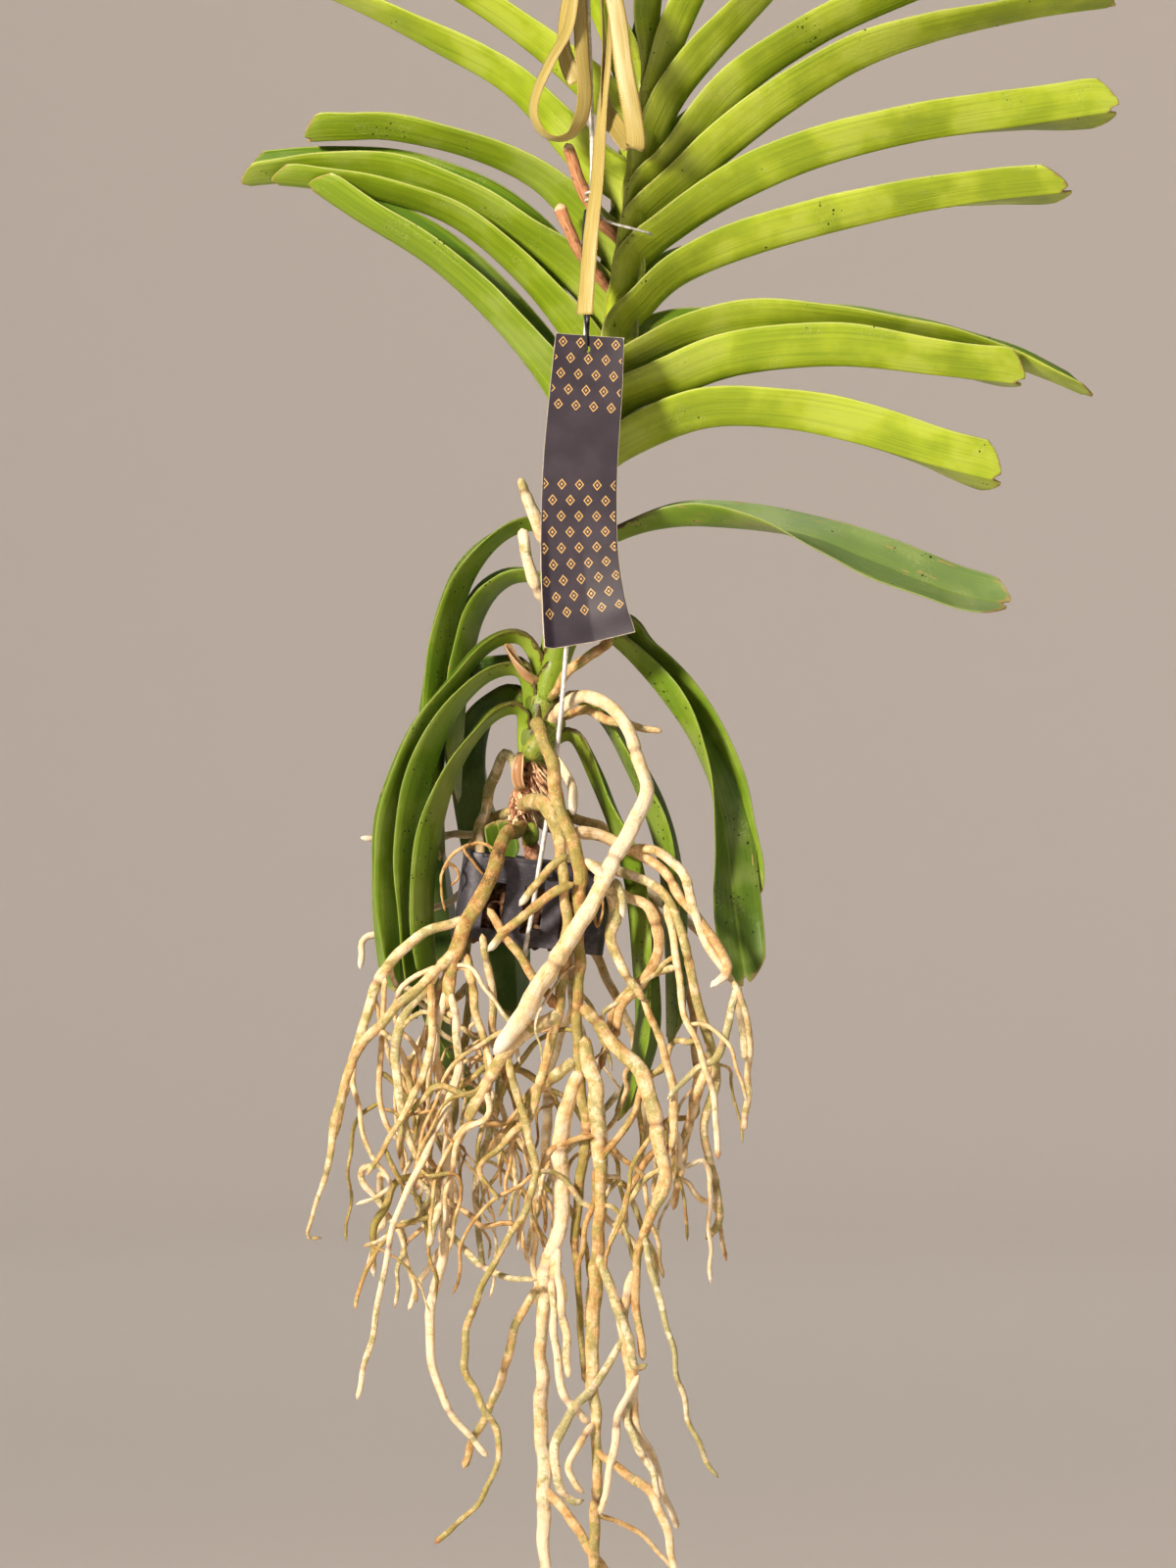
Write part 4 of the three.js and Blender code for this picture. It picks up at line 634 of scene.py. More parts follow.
def leaf_patch(side, half, openings, leans, rib, sheathed, form, specks, seed, shade=0.0):
    """A thick folded strap. Its middle surface is midrib(t) plus width(t) times the sum, from the
    midrib out, of the section's direction, whose angle goes from one half's to the other's as
    v / sqrt(v squared + r squared). r is the roundness of the fold, small on the blade, large on
    the sheath. The skin lies half the thickness to each side, along the section's normal."""
    draw = np.random.default_rng(seed)
    foot, shoulder, tipped_back = form
    line = with_sheath(rib, side) if sheathed else np.array(rib, float)
    places, _, run, rows = line_through(line, 1.0)
    start = np.interp(2.0, rows, run) if sheathed else 0.0
    length = run[-1] - start
    t_rows = np.linspace(-start / length, 1, int(run[-1] / LEAF_STEP))
    # Rows crowd together near the tip, where the outline turns.
    t_rows = np.where(t_rows > 0.9, 1 - (1 - t_rows) ** 1.5 / 0.1**0.5, t_rows)
    ease = np.linspace(-1, 1, ACROSS)
    v = 0.55 * ease + 0.45 * ease**3
    v[ACROSS // 2] = 0
    # The tip is two unequal lobes with a shallow notch at the midrib.
    lobes = (NOTCH * np.exp(-(v / 0.2) ** 2) + LOBES * np.abs(v) ** 3
             + UNEVEN * v * draw.choice([-1, 1]))
    t = t_rows[:, None] * (1 - lobes[None, :] * smooth(0.8, 1, t_rows)[:, None])
    blade = np.clip(t, 0, 1)
    down = np.clip(-t * length / max(start, 1), 0, 1)
    wrap = smooth(0, 0.9, down)
    free = 1 - wrap
    at = start + t * length

    def midrib(at):
        return np.stack([np.interp(at, run, places[:, k]) for k in range(3)], axis=-1)

    forward = unit(midrib(at + 2.0) - midrib(at - 2.0))
    front = unit(np.array([0.0, -1.0, 0.0]) - forward * -forward[..., 1:2])
    up = side * np.cross(front, forward)
    twist = SWAY * np.sin(2 * np.pi * blade * draw.uniform(0.8, 1.6) + draw.uniform(0, 6))
    lean = np.radians(spread(leans, blade) - tipped_back * smooth(0.3, 0.05, blade)) + twist
    fold = mix(np.pi / 2 - np.radians(spread(openings, blade)) / 2, SHEATH_WRAP, wrap)
    round_fold = mix(0.10 + 0.08 * blade, 2.5, wrap)
    turn = v / np.sqrt(v**2 + round_fold**2) * np.sqrt(1 + round_fold**2)
    arch = BULGE * np.sin(np.pi * np.abs(v)) * np.sign(v) * free
    angle = lean * free + np.pi / 2 - fold * turn + arch
    along_section = np.cos(angle)[..., None] * up + np.sin(angle)[..., None] * front
    outward = -np.sin(angle)[..., None] * up + np.cos(angle)[..., None] * front
    steps = 0.5 * (along_section[:, 1:] + along_section[:, :-1]) * np.diff(v)[None, :, None]
    section = np.concatenate([np.zeros_like(steps[:, :1]), np.cumsum(steps, axis=1)], axis=1)
    section = section - section[:, ACROSS // 2:ACROSS // 2 + 1]
    width = mix(half * leaf_width(blade, foot, shoulder),
                SHEATH_WRAP * mix(SHEATH_TOP, SHEATH_FOOT, down), wrap)
    # Slow waves, stronger towards the margins, so that no blade is a ruled surface.
    phase = draw.uniform(0, 2 * np.pi, 4)
    waves = (0.8 * np.sin(at / 17 + phase[0]) * v + 1.0 * np.sin(at / 31 + phase[1]) * v**2
             + 0.35 * np.sin(at / 7 + phase[2]) * np.abs(v) ** 3) * free * smooth(0, 0.15, blade)
    middle = midrib(at) + width[..., None] * section + waves[..., None] * outward
    thick = mix(mix(KEEL, RIM, np.abs(v) ** 0.7) * mix(1, 0.7, blade), 0.5, wrap)
    ridge = RIDGE * np.exp(-(v / 0.05) ** 2) * free
    groove = GROOVE * np.exp(-(v / 0.07) ** 2) * free
    outer = middle + (thick + ridge)[..., None] * outward
    inner = middle - (thick - groove)[..., None] * outward
    near_rim = middle[:, -1] + 0.8 * thick[:, -1:] * along_section[:, -1]
    far_rim = middle[:, 0] - 0.8 * thick[:, :1] * along_section[:, 0]
    ring = np.concatenate([outer, near_rim[:, None], inner[:, ::-1], far_rim[:, None]], axis=1)
    grid = ring.shape[:2]
    flip = side == RIGHT
    # Both ends are closed by faces from one skin to the other, with a triangle at each rim.
    j = np.arange(ACROSS - 1)
    mirrored = 2 * ACROSS - j
    cap = np.stack([j, j + 1, mirrored - 1, mirrored], axis=1)
    edge = np.array([[ACROSS - 1, ACROSS, ACROSS + 1], [2 * ACROSS, 2 * ACROSS + 1, 0]])
    if flip:
        cap, edge = cap[:, ::-1], edge[:, ::-1]
    last = (grid[0] - 1) * grid[1]
    caps = np.concatenate([cap[:, ::-1], cap + last])
    edges = np.concatenate([edge[:, ::-1], edge + last])
    ring_v = np.concatenate([v, [1], v[::-1], [-1], [-1]])
    around = ring_v[None, :] * width[:, :1]
    along = np.repeat((t_rows * length)[:, None], grid[1] + 1, axis=1)
    corner_map = np.concatenate([grid_map(*grid, around, along, flip=flip),
                                 np.zeros((len(caps), 4, 2))])
    values = {"margin": (1 - np.abs(ring_v[:-1])) * width[:, :1],
              "inner": np.concatenate([np.zeros(ACROSS), [0.5], np.ones(ACROSS), [0.5]]),
              "sheath": 1 - smooth(0.04, 0.2, t_rows)[:, None],
              "left": (1 - t_rows[:, None]) * length}
    values = {key: np.broadcast_to(value, grid).ravel() for key, value in values.items()}
    # tone is a random share of the darker green, plus shade, the painted shade of a leaf in shadow.
    return patch(ring.reshape(-1, 3), np.concatenate([grid_faces(*grid, flip=flip), caps]),
                 corner_map, edges, tone=shade + draw.uniform(0.0, 0.22), specks=specks, **values)


# %% [markdown]
# Each leaf is a piece of its own, named for its place, so the loop makes them one by one. The
# stub is a leaf that was cut off low down, so it has no sheath of its own. The left rank's young
# feet tip back, under those of the right. Its middle leaves get a darker green, which is painted
# shade for the shadow that they hang in.

# %% Leaves
SPECKLED = {"leaf_right_14": 1.0, "leaf_right_13": 0.7, "leaf_right_15": 0.9, "leaf_left_12": 0.7,
            "leaf_left_08": 0.7, "leaf_left_09": 0.4, "leaf_left_11": 0.5, "leaf_left_04": 0.2}
# Painted shade: these leaves hang in the shadow of others, so their tone is raised towards the
# darker green.
SHADED = {"leaf_left_03": 0.2, "leaf_left_04": 0.6, "leaf_left_05": 0.75, "leaf_left_06": 0.7,
          "leaf_left_07": 0.85}
# Other materials for a few leaves: a scarred one, and for the two rearmost a nearly black green
# that is painted shade.
WORN_AND_SHADED = {"leaf_left_13": shadowed_rear_leaf, "leaf_left_14": shadowed_rear_leaf, "leaf_right_11": scarred_leaf}
# By age and side: how much of its width a blade has at the foot, where along it the end begins
# to round, and by how many degrees its foot tips back.
FORMS = {("fresh", RIGHT): (1.05, 0.92, -24), ("fresh", LEFT): (1.0, 0.92, 22),
         ("old", RIGHT): (0.4, 0.85, 0), ("old", LEFT): (0.4, 0.8, 0)}


def in_ranks(point):
    return point if len(point) == 3 else (point[0], LEAF_PLANE, point[1])


leaves = []
for number, (name, (side, age, half, openings, leans, rib)) in enumerate(LEAVES.items()):
    look = WORN_AND_SHADED.get(name, fresh_leaf if age == "fresh" else old_leaf)
    surface = leaf_patch(side, half, openings, leans, [in_ranks(point) for point in rib],
                         name != "leaf_stub", FORMS[age, side], SPECKLED.get(name, 0.05),
                         100 + number, SHADED.get(name, 0.0))
    leaves.append(piece("blade_" + name[5:], [surface], look, [name]))
print("leaves made:", len(leaves), "faces:", sum(map(faces_in, leaves)))

# %% [markdown]
# ## Stem
#
# Nearly all of the stem is inside the sheaths. What shows is a green cane with a ring at each
# node, where a sheath was joined, and a short green end above the old brown foot.

# %% Stem
STEM_RADII = [3.6, 5.8, 6.6, 7.0, 7.2, 7.0, 6.6, 6.8, 6.4]
NODE_PITCH = 17              # from one ring to the next


def ringed(turn, run):
    """Raises a narrow ring at every node and adds slow swellings round the cane."""
    place = (run % NODE_PITCH) / NODE_PITCH - 0.5
    return 1 + 0.10 * np.exp(-(place / 0.07) ** 2) + 0.03 * ripple(turn, run / 9, 3)


def cane_material():
    """Living cane: smooth, green and waxy, yellower and speckled at each ring."""
    material, add = blank("living cane, waxed green")
    place = add("TexCoord", out="Object")
    flat = add("UVMap", uv_map="surface")
    drawn = add("Mapping", {"Vector": flat, "Scale": (1, 1 / 35, 1)})
    grain, mottle, speck = [
        add("TexNoise", {"Vector": where, "Scale": 1 / (size * MM), "Detail": detail})
        for where, size, detail in ((drawn, 1.2, 3), (place, 5, 4), (place, 0.8, 2))]
    light, yellow, dark = [
        add("MapRange", {"Value": pattern, "From Min": start, "From Max": full}, **SOFT)
        for pattern, start, full in ((grain, 0.35, 0.65), (mottle, 0.5, 0.68), (speck, 0.62, 0.68))]
    colour = painted(add, "#5f7a1f", [(light, 1.0, "#93a43a"), (yellow, 0.6, "#b9a75a"),
                                      (dark, 0.7, "#3a2f12")])
    surfaced(add, colour, 0.45, [(grain, 0.2)])
    return material


cane = cane_material()
stem = piece("stem_cane", [tube(STEM_LINE, STEM_RADII, 24, 1.5, 0.6, ringed)], cane,
             ["stem"])
print("stem faces:", faces_in(stem))

# %% [markdown]
# ### Root skin
#
# A vanda root is a green core in a coat of dead, air-filled cells, the velamen. It is matt and
# chalky, cream on young roots and tan or grey-brown on old ones, with green showing through where
# it was last wet. It wrinkles lengthwise, stains in blotches, and cracks where growth rested.

# %% Root material
def root_material():
    """Velamen: chalk over a green core. tone picks cream to brown, green how much shows through,
    pale marks a growing tip, raw a torn end, and joint a crack where growth rested."""
    material, add = blank("root velamen, dry chalk and tan")
    tone, green, pale, raw, joint = [add("Attribute", out="Fac", attribute_name=key)
                                     for key in ("tone", "green", "pale", "raw", "joint")]
    place = add("TexCoord", out="Object")
    flat = add("UVMap", uv_map="surface")
    drawn, hoops = [add("Mapping", {"Vector": flat, "Scale": scale})
                    for scale in ((1, 1 / 16, 1), (1 / 7, 1, 1))]
    # Each row: where the noise is read, its size in millimetres, detail, roughness, distortion.
    blotch, stain, fibres, wrinkles, grit = [
        add("TexNoise", {"Vector": where, "Scale": 1 / (size * MM), "Detail": detail,
                         "Roughness": rough, "Distortion": bent})
        for where, size, detail, rough, bent in (
            (place, 7, 7, 0.65, 0.0), (place, 9, 8, 0.72, 0.4), (drawn, 0.7, 4, 0.5, 0.0),
            (hoops, 1.0, 3, 0.5, 0.0), (place, 1.3, 4, 0.7, 0.0))]
    depth = add("Math", {0: blotch, 1: 1.5, 2: tone}, **PLUS)
    depth = add("Math", {0: fibres, 1: 0.35, 2: depth}, **PLUS)
    depth = add("Math", {0: depth, 1: 1.0}, operation="SUBTRACT")
    colour = add("ValToRGB", {"Fac": depth}, stops=[
        (0.0, "#f6e3c4"), (0.18, "#efd1a0"), (0.38, "#dbb279"), (0.58, "#b5874d"),
        (0.78, "#86643a"), (1.0, "#4a3720")])
    soaked = add("Math", {0: green, 1: 0.23, 2: stain}, **PLUS)
    wet, rust, cracks, creases, dots, dust = [
        add("MapRange", {"Value": pattern, "From Min": start, "From Max": full}, **SOFT)
        for pattern, start, full in (
            (soaked, 0.57, 0.66), (stain, 0.40, 0.32), (fibres, 0.43, 0.31),
            (wrinkles, 0.37, 0.28), (grit, 0.35, 0.27), (grit, 0.54, 0.63))]
    mossy = add("Math", {0: grit, 1: 0.5, 2: wet}, **PLUS)
    mossy = add("MapRange", {"Value": mossy, "From Min": 1.22, "From Max": 1.31}, **SOFT)
    colour = painted(add, colour, [
        (wet, 0.62, "#9d9b4b"), (mossy, 0.6, "#686d2e"), (rust, 0.35, "#93703f"),
        (cracks, 0.15, "#7d5f38"), (creases, 0.35, "#8a6a42"), (dots, 0.65, "#5c4527"),
        (dust, 0.3, "#f2dcb8"), (joint, 0.7, "#8d5c3a"), (raw, 0.75, "#bd7a52"),
        (pale, 1.0, "#f3e9d8")])
    surfaced(add, colour, 0.8, [(blotch, 1.2), (fibres, 0.5), (wrinkles, 0.25), (grit, 0.2)],
             {"Specular IOR Level": 0.3})
    return material


velamen = root_material()
print("root material:", velamen.name)

# %% [markdown]
# ## Roots
#
# The roots leave the crown, cross the basket and fall free. Each row lists a root's radii from
# its start to its tip, then the points that it passes. The surface adds what every root has: slow
# swelling and thinning, a slightly flattened section, a joint or two where growth rested, and a
# blunt tip that is white where it still grows.

# %% Root tables
ARCH_ROOTS = [
    ((3.8, 3.5, 3.5, 3.7, 3.8, 3.9, 4.2, 4.8, 5.2, 4.8, 3), (-20, 34, -570), (-13, 12, -561),
     (0, 10, -555), (17.5, 6, -567), (27.5, 0, -593), (29, -4, -608), (15, -14, -635),
     (6, -19.5, -652.5), (-5, -21, -672.5), (-20, -20, -695), (-35, -18, -720),
     (-47.5, -16, -737.5)),
    ((2.6, 3), (-1.5, -18, -638), (4, -19, -643), (10, -18, -648)),
]
MAIN_ROOTS = [
    # Down the front from the crown.
    ((3.6, 3.7, 3.9, 3.8, 3.5, 3.2, 3, 2.7, 2.2, 1.7), (-26, 24, -569), (-26, 8, -569),
     (-23, -7, -577), (-18, -11, -592), (-15, -11, -610), (-6, -11, -635), (-4, -10, -660),
     (-5, -9, -700), (-5, -7, -740), (-1, -3, -780), (-6, 2, -817), (-5, 8, -860),
     (-1.5, 12, -907)),
    ((4.2, 4.5, 4.1, 3.2, 2.9, 2.7, 2.5, 2.2, 1.7, 1.2), (-34, 34, -611), (-29, 14, -609),
     (-22, -8, -611), (-15, -10, -626), (-12.5, -10, -650), (-11, -9, -675), (-14.5, -8, -712),
     (-22.5, -8, -744), (-29, -10, -768), (-40, -14, -779), (-54, -18, -795), (-45, -20, -811)),
    ((3.6, 3.8, 3.7, 3.7, 3.8, 3.8, 3.7, 3.4), (-33, 36, -622), (-37, 20, -624), (-42, 4, -626),
     (-47, -8, -640), (-54, -10, -657), (-64, -10, -675), (-70, -8, -695), (-72, -6, -715)),
    ((3.2, 2.7, 2.4, 2.1, 1.3, 0.8), (-64, -9, -682), (-85, -12, -702), (-111, -16, -728),
     (-121, -16, -744), (-129, -12, -775), (-134, -6, -801), (-143, -2, -828), (-136, 2, -832)),
    ((2.9, 2.7, 2.4, 1.6), (-62, -9, -668), (-87, -10, -678), (-104, -8, -696), (-115, -2, -724),
     (-127, 4, -769), (-132, 8, -790)),
    ((2.4, 2.2, 1.9), (-10, -12, -636), (-19, -13, -642), (-26, -12, -651), (-35, -11, -662)),
    ((2.6, 2.6, 2.1), (-7, -16, -650), (-23, -16, -659), (-42, -14, -675), (-51, -12, -685)),
    ((2.1, 2.6, 2.6, 2.9), (-51, -12, -663), (-43, -12, -675), (-36, -11, -686), (-16, -9, -714)),
    ((3.7, 3.2, 2.6), (-14, -9, -716), (-38, -13, -732), (-51, -16, -751), (-62, -18, -771)),
    ((3.2, 2.9, 2.4), (-6, -8, -740), (-29, -4, -759), (-38, 0, -772), (-52, 6, -790)),
    # Out to the right.
    ((3.5, 3.2, 2.9, 2.4, 2.1), (-8, -8, -624), (8, 0, -627), (22, 0, -634), (37, -2, -643),
     (50, -6, -661), (67, -12, -684), (71, -14, -695), (62, -16, -703)),
    ((2.9, 2.7, 2.4, 2.1), (-6, -6, -640), (10, -1, -643), (32, 0, -651), (42, -3, -661),
     (48, -5, -676), (54, -6, -704), (65, -2, -748), (59, 4, -775), (62, 8, -791), (67.5, 12, -816),
     (66, 16, -826), (60.5, 18, -834)),
    ((3.8, 4, 3.2, 2.4), (4, -8, -645), (12, -9, -655), (14, -10, -668), (12, -10, -682),
     (28, -14, -710)),
    ((2.3, 2.1), (14, -10, -648), (16, -14, -654), (18, -15, -668)),
    ((3, 3.2, 2.6, 2.1), (8, -4, -649), (19, -4, -656), (30, -5, -663), (36, -6, -677),
     (34, -6, -692), (28, -4, -700), (18, 0, -712), (14, 4, -730)),
    ((2.4, 2.4, 1.9, 1.6), (20, 0, -633), (33, -6, -633), (42, -7, -639), (50, -9, -650),
     (60, -10, -682), (76, -10, -704), (82, -8, -730), (81, -4, -762), (79, -2, -777)),
    ((2.1, 2.1, 1.8, 1.3), (76, -10, -703), (67, -14, -736), (55, -16, -744), (40, -18, -760)),
    ((2.1, 1.9, 1.6), (40, -2, -660), (45, -8, -690), (50, -14, -720), (62, -18, -750),
     (66, -20, -790)),
    ((2.4, 2.4, 1.9, 1.6), (62, -3, -740), (55, 0, -762), (46, 6, -790), (38, 10, -812),
     (30, 14, -826)),
    ((2.1, 2.1, 1.6), (28, -8, -708), (38, -12, -735), (44, -14, -762), (40, -16, -790),
     (33, -18, -815)),
    # Straight down below the basket.
    ((4, 4.5, 4, 3.7, 3.7, 3.4, 2.6), (-4, -7, -745), (-14, -6, -779), (-14, -2, -823),
     (-22, 3, -852), (-24, 8, -915), (-22.5, 10, -960), (-22.5, 10, -1000), (-21, 9, -1026)),
    ((3.5, 4, 3.8, 3.2, 3, 2.1), (-3, -8, -728), (3, -9, -752), (5, -8, -779), (6, -7, -815),
     (2, -5, -891), (4.5, -4, -939), (3, -5, -1000), (5, -6, -1034)),
    ((3.2, 4, 4, 3.8, 3.5, 2.4, 1.9), (-4, -9, -712), (17, -12, -736), (28, -15, -748),
     (33, -17, -767), (38, -18, -791), (38, -17, -807), (30, -14, -823), (24, -12, -852),
     (28, -12, -893)),
    ((2.4, 3.2, 2.6, 1.8), (24, -12, -846), (18, -9, -870), (22, -6, -900), (24, -4, -925),
     (33, 0, -945), (46, 6, -981)),
    ((1.6, 1.8, 1.4, 1), (28, -14, -828), (33, -18, -850), (41, -22, -878), (50, -24, -918),
     (60, -24, -942), (66, -23, -951)),
    ((2.4, 2.9, 2.4, 1.8), (4, -7, -838), (10, -12, -852), (20, -16, -880), (24, -18, -895),
     (30, -19, -894)),
    ((1.9, 2.1, 1.6), (26, -12, -900), (16, -11, -920), (12, -10, -945), (6, -7, -972)),
    ((2.1, 2.4, 2.1), (-22, 3, -852), (-36, 8, -875), (-46, 14, -910), (-58, 18, -935),
     (-64, 20, -952)),
    ((1.8, 2.1, 1.8), (-16, -1, -835), (-14, -6, -860), (-11, -9, -884), (-10, -10, -902)),
    ((2.1, 2.2, 1.9), (-17, 0, -836), (-18, -4, -862), (-14, -7, -905), (-6, -7, -918),
     (0, -5, -926)),
    ((2.1, 2.4, 1.9), (20, -8, -880), (4, -8, -905), (-8, -10, -918), (-16, -12, -936),
     (-16, -13, -954), (-8, -12, -964), (-2, -10, -964)),
    ((1.9, 2.2, 1.6), (3, -6, -925), (-5, -14, -936), (-10, -18, -946), (-6, -20, -955),
     (-2, -20, -959)),
    ((1.9, 2.4, 1.8), (4, -5, -938), (12, -9, -946), (32, -14, -960), (40, -16, -980),
     (46, -17, -1006)),
    ((1.9, 2.4, 1.9), (20, -6, -908), (22, -9, -930), (33, -12, -950), (36, -13, -964)),
    ((2.1, 2.6, 1.9), (-22, 9, -960), (-12, 5, -972), (2, 3, -992), (12, 3, -1008)),
    ((1.4, 1.6, 1.3), (4, -4, -972), (14, 0, -976), (30, 4, -986), (44, 6, -1002)),
    # Down the left side.
    ((2.1, 2.7, 2.4, 1.9), (-72, -8, -705), (-78, -8, -732), (-72, -4, -770), (-72, 0, -800),
     (-74, 4, -840), (-81, 6, -872), (-78, 6, -903), (-69, 5, -923), (-51, 4, -944)),
    ((1.9, 2.1, 1.4), (-73, 2, -826), (-62, -3, -838), (-48, -8, -849), (-26, -12, -852)),
    ((2.4, 2.4, 2.1, 1.6), (-76, -9, -694), (-97, -14, -728), (-92, -14, -776), (-78, -8, -806),
     (-73, 0, -822)),
    ((2.1, 2.1, 1.8, 1.3), (-70, -8, -705), (-66, -14, -745), (-82, -18, -786), (-98, -20, -822),
     (-107, -20, -868), (-117, -19, -912)),
    ((1.3, 1.4), (-101, -20, -828), (-108, -21, -832), (-114, -21, -834)),
    ((2.1, 1.8, 1.3), (-80, -11, -700), (-81, -18, -740), (-102, -22, -782), (-112, -23, -798)),
    ((1.8, 1.4, 1), (-120, 1, -742), (-118, -3, -762), (-111, -6, -788), (-100, -8, -804),
     (-118, -8, -814)),
    ((1.6, 1.6, 1.3), (-103, -9, -698), (-106, -4, -745), (-104, 0, -772), (-97, 2, -782)),
    ((1.6, 1.8, 1.4), (-72, 0, -800), (-68, 4, -823), (-86, 10, -855), (-92, 12, -870)),
    ((2.4, 2.6, 2.1), (-72, 0, -798), (-76, -5, -815), (-81, -8, -836)),
    ((2.4, 2.4, 1.9, 1.6), (-62, -8, -686), (-56, -8, -720), (-51, -6, -742), (-54, -4, -765)),
    ((2.1, 2.1, 1.8), (-54, -10, -676), (-48, -4, -712), (-49, 0, -728), (-40, 4, -742)),
    ((2.1, 1.9, 1.6), (-42, -13, -733), (-38, -16, -752), (-27, -18, -791), (-32, -18, -816),
     (-45, -18, -838), (-59, -17, -868), (-62, -16, -896), (-46, -14, -931), (-47, -13, -948),
     (-56, -12, -965), (-78, -11, -986)),
    # Behind the leaves and down the back.
    ((2.9, 2.8, 2.7), (-31, 46, -606), (-42, 50, -584), (-50, 52, -600), (-56, 54, -624),
     (-57, 52, -646)),
    ((3.5, 3.7, 3.4, 2.7, 2.1), (-33, 44, -616), (-24, 66, -620), (-14, 86, -626), (-10, 90, -650),
     (-10, 88, -690), (-6, 74, -722), (2, 52, -752), (8, 34, -790), (4, 28, -840), (-2, 26, -880)),
    ((3.2, 3.2, 2.7, 2.1, 1.6), (-34, 46, -612), (-46, 64, -616), (-56, 82, -622), (-62, 88, -640),
     (-64, 84, -674), (-62, 66, -710), (-66, 46, -748), (-72, 34, -790), (-70, 30, -830)),
    ((2.1, 1.9, 1.8), (-58, 84, -626), (-76, 82, -628), (-98, 73, -630), (-119, 63, -628)),
    ((2.1, 2.1, 1.6), (-62, 86, -655), (-86, 80, -668), (-107, 69, -677), (-118, 65, -683),
     (-119, 63, -697)),
    ((3.2, 3, 2.4, 1.9, 1.6), (-33, 44, -610), (-14, 60, -616), (8, 74, -624), (22, 84, -642),
     (36, 82, -668), (50, 70, -700), (56, 52, -740), (52, 38, -780), (44, 30, -820)),
    ((2.4, 2.4, 1.9), (28, 84, -654), (54, 78, -674), (76, 66, -702), (82, 52, -744)),
    ((2.7, 2.6, 2.1, 1.6), (-10, 88, -680), (-28, 82, -712), (-42, 64, -742), (-50, 44, -778),
     (-58, 30, -806), (-54, 24, -850)),
    ((2.7, 2.6, 2.1, 1.6), (-10, 89, -668), (12, 84, -706), (26, 68, -742), (30, 50, -782),
     (22, 34, -812)),
    ((2.4, 2.4, 1.9), (-7, 78, -714), (-20, 66, -750), (-22, 50, -790), (-28, 38, -826),
     (-26, 30, -870)),
    ((2.2, 2.1, 1.6), (-62, 70, -704), (-84, 60, -730), (-96, 46, -762), (-96, 34, -800)),
]
FREE_ROOTS = [
    ("root_tan", (2.6, 3, 2.8), (-19, 28, -556), (-14, 15, -548), (-8, 13, -540), (6, 14, -531),
     (12, 16, -525)),
    ("root_side", (2.4, 2.4, 1.6), (-19, 42, -570), (-4, 26, -562), (10, 19, -567), (24, 18, -570),
     (38, 18, -573)),
]
STUBS = [
    ("stub_white", (3, 3.8, 3.6, 2.3), (-10, 26, -486), (-22, 16, -474), (-29, 12, -458),
     (-35, 11, -443)),
    ("stub_pale", (3.2, 3.6, 3.4, 2.8), (-12, 31, -515), (-26, 15, -500), (-31, 11, -484),
     (-34, 10, -469)),
]
DRY_STUB = [(-24, 34, -549), (-32, 27, -545), (-38, 21, -537), (-42.5, 18, -528)]
NUB = ((2.0, 2.4, 2.6, 2.3), [(-20, 24, -584), (-13, 17, -592), (-8, 11, -602), (-7.4, 9, -616)])
FLOWER_STEMS = [
    ("flower_stem_upper", (2.8, 3.4, 3.3), (19, 28, -323), (4, 13, -308), (-4, 9, -292),
     (-11, 8, -272)),
    ("flower_stem_lower", (2.8, 3.4, 3.5), (14, 28, -348), (-3, 13, -329), (-10, 9, -316),
     (-15, 8, -303)),
]
print("roots:", len(MAIN_ROOTS) + len(ARCH_ROOTS) + len(FREE_ROOTS))

# %% Root surface
ROOT_SIDES = 14
JOINT_PITCH = 62             # between the places where growth rested
PINCH = 0.14                 # how much thinner a root is there, as a share
COLLAR = 0.07                # and how much thicker just beyond


def root_patch(radii, points, seed, tone, green=0.3, tip="dry", sides=ROOT_SIDES, step=2.4,
               wander=0.8):
    """A tube whose radius swells and thins by seeded ripples, is squeezed to an ellipse, and is
    pinched where growth rested. tip is dry, white or torn."""
    draw = np.random.default_rng(seed)
    offset, flat, lean = draw.uniform(0, JOINT_PITCH), draw.uniform(0.04, 0.12), draw.uniform(0, 6)
    size = max(radii)

    def from_joint(run):
        return np.abs((run + offset) % JOINT_PITCH - JOINT_PITCH / 2)

    def swell(turn, run):
        pinch = PINCH * np.exp(-(from_joint(run) / 1.2) ** 2)
        collar = COLLAR * np.exp(-((from_joint(run) - 4) / 2.5) ** 2)
        squeezed = flat * np.cos(2 * (turn - lean - run / 45))
        return (0.94 + squeezed + 0.05 * ripple(turn, run / 8, seed)
                + 0.04 * ripple(2 * turn, run / 3, seed + 1) - pinch + collar)

    def marks(run, left):
        return {"tone": np.clip(tone + 0.08 * np.sin(run / 24 + lean), 0, 1), "green": green,
                "joint": np.exp(-(from_joint(run) / 1.1) ** 2),
                "pale": 0.95 * smooth(3.4 * size, 1.2 * size, left) * (tip == "white"),
                "raw": smooth(2.2 * size, 0.8 * size, left) * (tip == "torn")}

    blunt = 2.2 if tip == "white" else 1.0
    return tube(points, radii, sides, step, blunt, swell, (wander, seed), marks)


